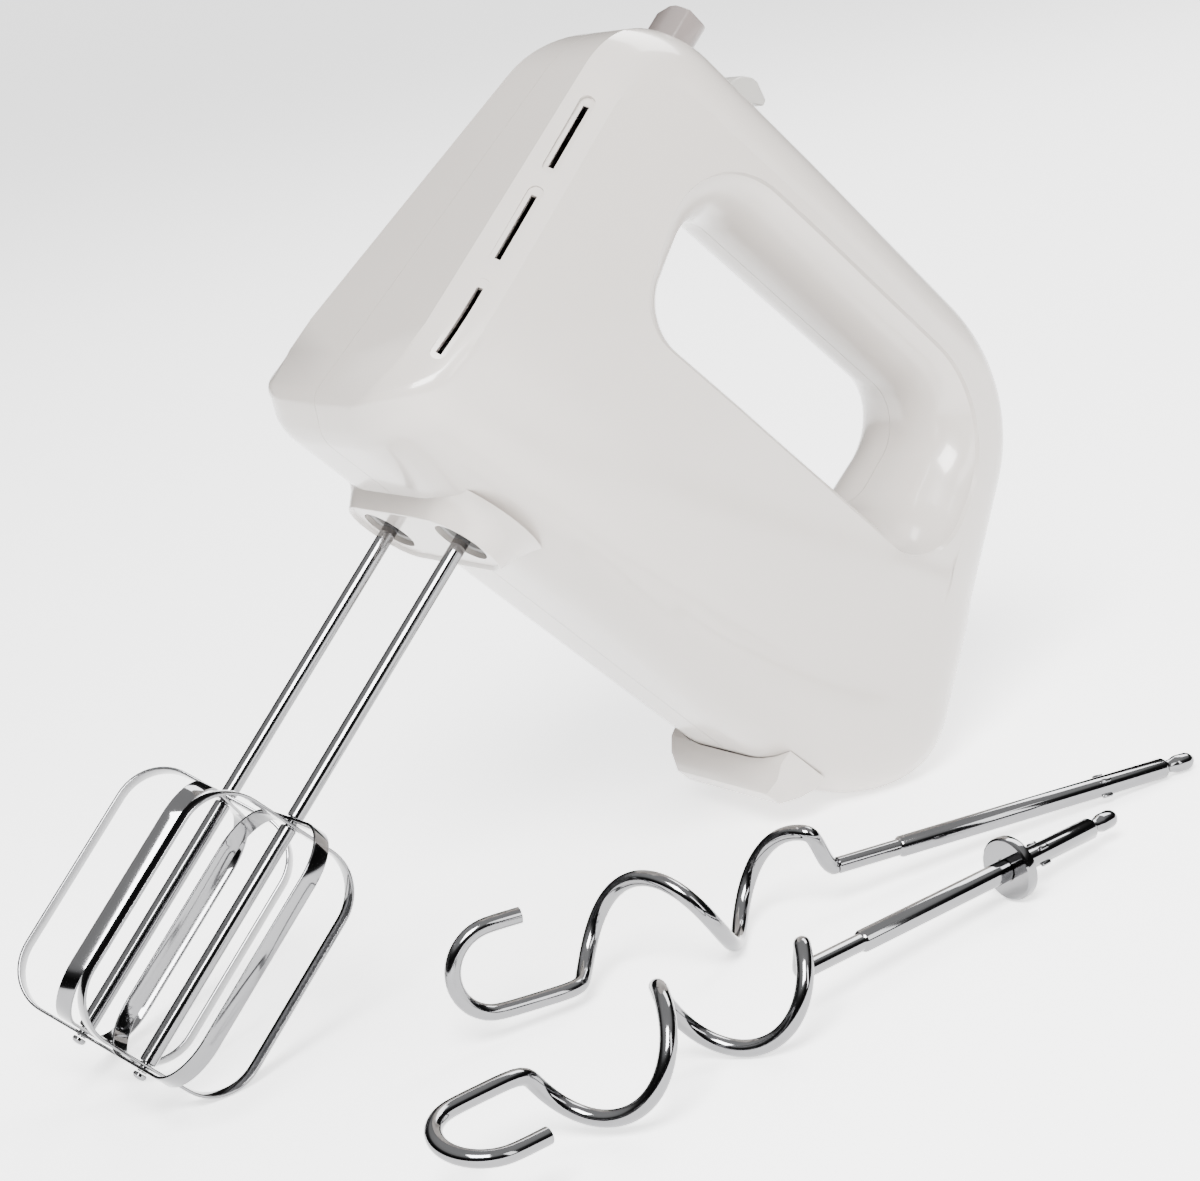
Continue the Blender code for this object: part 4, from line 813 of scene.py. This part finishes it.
class MIXER_OT_collar(PieceOperator, bpy.types.Operator):
    """Make the flared oval collar round the two sockets, and a bush in each socket"""
    bl_idname = "mixer.collar"
    bl_label = "Beater collar"

    def build(self):
        bm = bmesh.new()
        rings = [[(x, y, height) for x, y in stadium(COLLAR_HALF_LENGTH + flare, COLLAR_HALF_WIDTH + flare)]
                 for height, flare in COLLAR_PROFILE]
        for end in bridge(bm, rings):
            cap(bm, end)
        bmesh.ops.recalc_face_normals(bm, faces=bm.faces)
        bm = carve(bm, [socket_tool(side) for _, side in SIDES])
        finish_piece(bm, "socket_collar", "body", self.finish["body_plastic"], ())
        for word, side in SIDES:
            bm = moved(spun(BUSH_PROFILE), (side * SHAFT_SIDE, 0, 0))
            finish_piece(bm, f"{word}_socket_bush", "body", self.finish["liner_plastic"],
                         [f"{word}_socket_liner"])


class MIXER_OT_ledge(PieceOperator, bpy.types.Operator):
    """Make the cross ledge under the heel"""
    bl_idname = "mixer.ledge"
    bl_label = "Heel ledge"

    def build(self):
        source = frame["nodes"]["heel_ledge"]
        bm = bmesh.new()
        bm.from_mesh(source.data)
        bm.transform(MIXER.inverted())
        bmesh.ops.remove_doubles(bm, verts=bm.verts, dist=0.01)
        flat = [e for e in bm.edges if len(e.link_faces) == 2 and e.calc_face_angle(0) < math.radians(1)]
        bmesh.ops.dissolve_edges(bm, edges=flat, use_verts=True)
        soften(bm, self.sizes.edge_round / MM, 30.0)
        finish_piece(bm, "bowl_ledge", "body", self.finish["body_plastic"], ["heel_ledge"])


BUTTON_BULGE = 3.0            # how far the button's rear edge bows out
BUTTON_RIDGE = -14.0          # behind this the button's top falls away
SLIDER_PROFILE = ((0, 0), (0.9, 3.4), (2.6, 5.8), (5.0, 7.2), (7.2, 7.4), (12.3, 5.2), (12.5, 3.4),
                  (9.6, 2.0), (8.9, 0))    # from its front foot: rearwards, up


class MIXER_OT_controls(PieceOperator, bpy.types.Operator):
    """Make the eject button and the speed slider"""
    bl_idname = "mixer.controls"
    bl_label = "Button and slider"

    def build(self):
        half, corner = BUTTON_HALF_WIDTH, BUTTON_FRONT + 0.9
        outline = [(-half, corner), (-1.5, BUTTON_FRONT), (1.5, BUTTON_FRONT), (half, corner)]
        for k in range(9):
            angle = math.pi * k / 8
            bow = BUTTON_BULGE * math.sin(angle)
            outline.append((half * math.cos(angle), BUTTON_REAR - BUTTON_BULGE + bow))
        bm = prism(outline, CONTROL_FOOT, BUTTON_TIP, "Z")
        for v in bm.verts:
            if v.co.z > CONTROL_FOOT + 1:
                v.co.z -= 0.22 * abs(v.co.x) + 0.12 * max(0.0, v.co.y - BUTTON_RIDGE)
        soften(bm, self.sizes.edge_round / MM)
        finish_piece(bm, "eject_key", "ejector", self.finish["button_plastic"], ["eject_button"])
        base = top_line(SLIDER_FRONT) + 0.35
        outline = [(SLIDER_FRONT + back, base + up) for back, up in SLIDER_PROFILE]
        bm = prism(outline, -SLIDER_HALF_WIDTH, SLIDER_HALF_WIDTH)
        soften(bm, self.sizes.edge_round * 0.8 / MM)
        stem = box_tool((-STEM_HALF_WIDTH, STEM_FRONT, CONTROL_FOOT), (STEM_HALF_WIDTH, STEM_REAR, base + 1))
        bm = carve(bm, [(stem, "UNION")])
        finish_piece(bm, "speed_tab", "slider", self.finish["slider_plastic"], ["speed_slider"])


class MIXER_OT_beaters(PieceOperator, bpy.types.Operator):
    """Make both beaters: shaft, two crossed strip loops and a rivet each"""
    bl_idname = "mixer.beaters"
    bl_label = "Beaters"

    def loop(self, name, node, body, top, foot, turn, at):
        """One strip loop, turned about its shaft, with a hole for the shaft at top and foot."""
        corners = [(-LOOP_RADIUS, foot), (LOOP_RADIUS, foot), (LOOP_RADIUS, top), (-LOOP_RADIUS, top)]
        inset = STRIP_THICK / 2
        corners = [(x - math.copysign(inset, x), z + (inset if z == foot else -inset)) for x, z in corners]
        path = fillet(corners, [LOOP_CORNER - inset] * 4, [14] * 4)
        points = [Vector((p.x, 0, p.y)) for p in path]
        half, thick, edge = STRIP_WIDTH / 2, STRIP_THICK / 2, 0.22
        flat = fillet([(-half, -thick), (half, -thick), (half, thick), (-half, thick)], [edge] * 4, [3] * 4)
        section = [(p.x, p.y) for p in flat]
        rings = []
        count = len(points)
        for i, point in enumerate(points):
            along = (points[(i + 1) % count] - points[i - 1]).normalized()
            side = Vector((0, 1, 0))
            out = along.cross(side)
            rings.append([point + side * a + out * b for a, b in section])
        bm = bmesh.new()
        bridge(bm, rings, closed=True)
        bmesh.ops.recalc_face_normals(bm, faces=bm.faces)
        bm = carve(bm, [(rod_tool(1.45, foot - 3, top + 3, (0, 0)), "DIFFERENCE")])
        moved(bm, (*at, 0), Matrix.Rotation(math.radians(turn), 3, "Z"))
        finish_piece(bm, name, body, self.finish["chrome"], [node], sharp=40)

    def build(self):
        for (word, side), turn in zip(SIDES, (LEFT_TURN, RIGHT_TURN)):
            at = (side * SHAFT_SIDE, 0)
            body = f"{word}_beater"
            foot = -BEATER_REACH
            top = foot + LOOP_HEIGHT
            self.loop(f"{word}_wide_loop", f"{word}_outer_loop", body, top, foot, turn, at)
            self.loop(f"{word}_cross_loop", f"{word}_inner_loop", body, top - LOOP_LAYER, foot + LOOP_LAYER,
                      turn + 90, at)
            r = SHAFT_RADIUS
            tip = SHAFT_INSERT
            neck = top - LOOP_LAYER - STRIP_THICK - GAP
            low = foot + LOOP_LAYER + STRIP_THICK + GAP
            profile = [(0, tip), (0.8, tip - 0.15), (1.4, tip - 0.6), (1.9, tip - 1.6), (r, tip - 2.8),
                       (r, tip - 5), (1.5, tip - 5.8), (1.5, tip - 7), (r, tip - 7.8), (r, top + 0.6),
                       (r - 0.3, top + 0.3), (NECK_RADIUS, top + 0.3), (NECK_RADIUS, neck), (r - 0.3, neck),
                       (r, neck - 0.3), (r, low + 0.3), (r - 0.3, low), (NECK_RADIUS, low),
                       (NECK_RADIUS, foot - 0.3), (0, foot - 0.3)]
            bm = moved(spun(profile, 40), (*at, 0))
            finish_piece(bm, f"{word}_shaft", body, self.finish["chrome"], [f"{word}_beater_shaft"])
            head = foot - 0.6
            profile = [(0, head), (1.5, head), (1.75, head - 0.2), (1.75, head - 0.8), (1.4, head - 1.3),
                       (0.7, head - 1.58), (0, head - 1.6)]
            bm = moved(spun(profile, 32), (*at, 0))
            finish_piece(bm, f"{word}_rivet", body, self.finish["chrome"], [f"{word}_beater_rivet"])


COIL_STEPS = 120
CROOK_STEPS = 36
LEAD_STEPS = 12
LEAD_END = 1.0


class MIXER_OT_hooks(PieceOperator, bpy.types.Operator):
    """Make the two dough hooks that lie beside the mixer"""
    bl_idname = "mixer.hooks"
    bl_label = "Dough hooks"

    def centre_line(self, hand, pitch, start, end, last):
        """The wire's centre line: a lead-in from the shaft, the coil, a straight and the crook."""
        per_mm = hand * 2 * math.pi / pitch
        coil = []
        for k in range(COIL_STEPS + 1):
            s = start + (end - start) * k / COIL_STEPS
            angle = last - per_mm * (end - s)
            coil.append(Vector((HOOK_COIL * math.cos(angle), HOOK_COIL * math.sin(angle), s)))
        first = coil[0]
        lead = [Vector((0, 0, 0.2)), Vector((0, 0, 0.8))]
        for k in range(1, LEAD_STEPS):
            t = k / LEAD_STEPS
            ease = t * t * (3 - 2 * t)
            lead.append(Vector((first.x * ease, first.y * ease, LEAD_END + (first.z - LEAD_END) * t)))
        out = Vector((math.cos(last), math.sin(last), 0)) * HOOK_COIL
        run = [out + Vector((0, 0, end + (HOOK_TURN_AT - end) * k / 8)) for k in range(1, 8)]
        swings = [math.pi * k / CROOK_STEPS for k in range(CROOK_STEPS + 1)]
        crook = [out * math.cos(swing) + Vector((0, 0, HOOK_TURN_AT + HOOK_COIL * math.sin(swing)))
                 for swing in swings]
        tail = [-out + Vector((0, 0, HOOK_TURN_AT - HOOK_RETURN * k / 4)) for k in range(1, 5)]
        return self.eased(lead + coil + run + crook + tail)

    def eased(self, points):
        """Smooth the joins of the wire's stretches, keeping both ends."""
        for _ in range(6):
            points = [points[0], points[1]] + [
                (points[i - 1] + points[i] * 2 + points[i + 1]) / 4 for i in range(2, len(points) - 2)
            ] + [points[-2], points[-1]]
        return points

    def hook_place(self, tip_at, heading, rest, rest_at, touch_at):
        """The frame of a hook that lies on the table.

        Its shaft touches with the radius rest, rest_at from its tip, and its coil touch_at past the shaft.
        """
        low = HOOK_COIL + HOOK_WIRE + HOOK_CLEAR
        rise = math.asin((low - rest) / (HOOK_LENGTH + touch_at - rest_at))
        level = math.cos(rise)
        along = Vector((level * math.cos(heading), level * math.sin(heading), math.sin(rise)))
        near = Vector((0, 0, 1)).cross(along).normalized()
        up = along.cross(near)
        height = rest / level - rest_at * math.sin(rise)
        turn = Matrix((near, up, along)).transposed().to_4x4()
        return TABLE @ Matrix.Translation(Vector((*tip_at, height)) + along * HOOK_LENGTH) @ turn

    def hook(self, word, place, line, disc):
        """One hook: its shaft with four small ears, its wire along a line, and a disc if it has one."""
        body = f"{word}_hook"
        bottom = -HOOK_LENGTH
        profile = [(0, -0.3), (1.8, -0.3), (2.1, -0.6), (2.1, -17.4), (2.4, -17.7), (2.7, -18.2),
                   (2.7, bottom + 9.4), (2.5, bottom + 9), (1.7, bottom + 8), (1.7, bottom + 7),
                   (2.2, bottom + 5.6), (2.3, bottom + 5), (2.3, bottom + 2.2), (2.0, bottom + 1.2),
                   (1.2, bottom + 0.25), (0.6, bottom), (0, bottom)]
        bm = spun(profile, 40)
        for turn in (45, 135):
            ear = box_tool((-3.4, -0.55, bottom + 26), (3.4, 0.55, bottom + 29))
            soften(ear, 0.4, segments=2)
            moved(ear, turn=Matrix.Rotation(math.radians(turn), 3, "Z"))
            bm = carve(bm, [(ear, "UNION")])
        finish_piece(bm, f"{word}_dough_shaft", body, self.finish["chrome"], [f"{word}_hook_shaft"],
                     place)
        if disc:
            low = bottom + 36
            profile = [(3.0, low), (7.4, low), (7.9, low + 0.4), (8.0, low + 0.9), (8.0, low + 2.1),
                       (7.9, low + 2.6), (7.4, low + 3), (3.0, low + 3), (3.0, low)]
            finish_piece(spun(profile), f"{word}_dough_disc", body, self.finish["chrome"],
                         [f"{word}_hook_disc"], place)
        bm = sweep(line, circle(HOOK_WIRE, sides=24))
        finish_piece(bm, f"{word}_dough_wire", body, self.finish["chrome"], [f"{word}_hook_wire"],
                     place, sharp=50)

    def build(self):
        place = self.hook_place(tip_at=(97.3, 151.2), heading=math.radians(-100.6), rest=2.3, rest_at=2.0,
                                touch_at=32.0)
        line = self.centre_line(hand=1, pitch=42.0, start=7.0, end=71.0, last=math.radians(-90))
        self.hook("right", place, line, disc=False)
        place = self.hook_place(tip_at=(113.2, 108.7), heading=math.radians(-85.2), rest=8.0, rest_at=36.0,
                                touch_at=25.5)
        line = self.centre_line(hand=-1, pitch=40.0, start=4.0, end=72.0, last=math.radians(167))
        self.hook("left", place, line, disc=True)


INSIDE = {
    "steel": ["housing_screw_1", "housing_screw_2", "housing_screw_3", "housing_screw_4",
              "gearbox_screw_left", "gearbox_screw_right", "motor_shaft", "worm", "left_spindle",
              "right_spindle"],
    "laminated_steel": ["stator_core", "armature_core"],
    "copper": ["upper_field_coil", "lower_field_coil", "front_armature_winding", "rear_armature_winding",
               "commutator"],
    "bronze": ["front_motor_bearing", "rear_motor_bearing", "left_brush_holder", "right_brush_holder"],
    "carbon": ["left_brush", "right_brush"],
    "nylon": ["left_worm_wheel", "right_worm_wheel"],
    "frame_plastic": ["gearbox_frame", "gearbox_cover", "ejector_fork"],
    "black_plastic": ["cord_inlet_bush", "motor_rear_bracket", "cooling_fan", "speed_switch"],
    "board_laminate": ["circuit_board"],
}


class MIXER_OT_inside(PieceOperator, bpy.types.Operator):
    """Give the motor, gears, switch and screws their finishes"""
    bl_idname = "mixer.inside"
    bl_label = "Inner pieces"

    def build(self):
        for finish, names in INSIDE.items():
            for name in names:
                mesh = frame["nodes"][name].data
                mesh.materials.clear()
                mesh.materials.append(self.finish[finish])


FLOOR_HALF = 60.0             # the floor and the lamps are in metres
FLOOR_DROP = 0.0002
FLOOR_GLOW = 1.6
LAMP_TARGET = (0, 0, 0.1)
LAMPS = (("key", (0.80, -0.60, 1.28), (0.75, 0.75), 80.0),
         ("side", (1.4, 0.3, 0.7), (0.35, 0.9), 8.0),
         ("back", (-0.5, 1.3, 1.4), (1.4, 0.7), 40.0))    # name, place, size, power
SKY_STOPS = ((0.0, 0.5), (0.04, 0.03), (0.35, 0.02), (0.5, 0.10), (0.62, 0.7), (0.85, 1.0),
             (1.0, 1.0))    # from straight down to straight up: share, brightness
CAMERA_SENSOR = 36.0
CAMERA_LENS = 85.35
CAMERA_AT = (624.26, -327.22, -147.96)    # in the mixer's frame, as are its right and its up
CAMERA_RIGHT = (0.5443, 0.6784, 0.4934)
CAMERA_UP = (-0.1000, -0.5315, 0.8411)


class MIXER_OT_stage(PieceOperator, bpy.types.Operator):
    """Set the floor, the studio lights and the camera"""
    bl_idname = "mixer.stage"
    bl_label = "Stage"

    def floor(self):
        bm = bmesh.new()
        bmesh.ops.create_grid(bm, x_segments=1, y_segments=1, size=FLOOR_HALF)
        bmesh.ops.translate(bm, vec=(0, 0, -FLOOR_DROP), verts=bm.verts)
        mesh = bpy.data.meshes.new("studio_floor")
        bm.to_mesh(mesh)
        bm.free()
        floor = bpy.data.objects.new("studio_floor", mesh)
        bpy.context.scene.collection.objects.link(floor)
        paper = bpy.data.materials.new("pale_floor")
        paper.use_nodes = True
        shader = paper.node_tree.nodes["Principled BSDF"]
        shader.inputs["Base Color"].default_value = (*bpy.context.scene.mixer_colours.floor, 1.0)
        shader.inputs["Roughness"].default_value = 0.75
        shader.inputs["Emission Color"].default_value = (1.0, 1.0, 1.0, 1.0)
        shader.inputs["Emission Strength"].default_value = FLOOR_GLOW
        mesh.materials.append(paper)

    def sky(self):
        world = bpy.data.worlds.new("studio")
        bpy.context.scene.world = world
        world.use_nodes = True
        tree = world.node_tree
        background = tree.nodes["Background"]
        background.inputs["Strength"].default_value = 1.0
        where = tree.nodes.new("ShaderNodeTexCoord")
        split = tree.nodes.new("ShaderNodeSeparateXYZ")
        band = tree.nodes.new("ShaderNodeValToRGB")
        tree.links.new(where.outputs["Generated"], split.inputs["Vector"])
        tree.links.new(split.outputs["Z"], band.inputs["Fac"])
        tree.links.new(band.outputs["Color"], background.inputs["Color"])
        ramp = band.color_ramp.elements
        while len(ramp) < len(SKY_STOPS):
            ramp.new(0.5)
        for element, (position, level) in zip(ramp, SKY_STOPS):
            element.position = position
            element.color = (level, level, level, 1.0)

    def lamp(self, name, at, size, power):
        light = bpy.data.lights.new(name, "AREA")
        light.shape = "RECTANGLE"
        light.size, light.size_y = size
        light.energy = power
        made = bpy.data.objects.new(name, light)
        bpy.context.scene.collection.objects.link(made)
        made.location = at
        made.rotation_euler = (Vector(LAMP_TARGET) - Vector(at)).to_track_quat("-Z", "Y").to_euler()

    def camera(self):
        lens = bpy.data.cameras.new("camera")
        lens.sensor_width = CAMERA_SENSOR
        lens.lens = CAMERA_LENS
        lens.clip_start = 0.01
        camera = bpy.data.objects.new("camera", lens)
        bpy.context.scene.collection.objects.link(camera)
        right = Vector(CAMERA_RIGHT)
        back = right.cross(Vector(CAMERA_UP)).normalized()
        up = back.cross(right.normalized())
        turn = Matrix((right.normalized(), up, back)).transposed().to_4x4()
        placed = MIXER @ Matrix.Translation(CAMERA_AT) @ turn
        camera.matrix_world = Matrix.LocRotScale(placed.to_translation(), placed.to_quaternion(), None)
        bpy.context.scene.camera = camera

    def build(self):
        self.floor()
        self.sky()
        for lamp in LAMPS:
            self.lamp(*lamp)
        self.camera()


OPERATORS = (MIXER_OT_housing, MIXER_OT_collar, MIXER_OT_ledge, MIXER_OT_controls, MIXER_OT_beaters,
             MIXER_OT_hooks, MIXER_OT_inside, MIXER_OT_stage)


class MIXER_PT_pieces(bpy.types.Panel):
    """Lists the pieces and the settings they use"""
    bl_idname = "MIXER_PT_pieces"
    bl_label = "Hand Mixer"
    bl_space_type = "VIEW_3D"
    bl_region_type = "UI"
    bl_category = "Mixer"

    def draw(self, context):
        for group in (context.scene.mixer_sizes, context.scene.mixer_colours):
            for key in group.bl_rna.properties.keys():
                if key not in ("rna_type", "name"):
                    self.layout.prop(group, key)
        for operator in OPERATORS:
            self.layout.operator(operator.bl_idname)


CLASSES = (MixerSizes, MixerColours) + OPERATORS + (MIXER_PT_pieces,)


def register():
    for cls in CLASSES:
        bpy.utils.register_class(cls)
    bpy.types.Scene.mixer_sizes = PointerProperty(type=MixerSizes)
    bpy.types.Scene.mixer_colours = PointerProperty(type=MixerColours)


def unregister():
    del bpy.types.Scene.mixer_colours
    del bpy.types.Scene.mixer_sizes
    for cls in reversed(CLASSES):
        bpy.utils.unregister_class(cls)


def main():
    register()
    for operator in OPERATORS:
        group, name = operator.bl_idname.split(".")
        getattr(getattr(bpy.ops, group), name)()


if __name__ == "__main__":
    main()
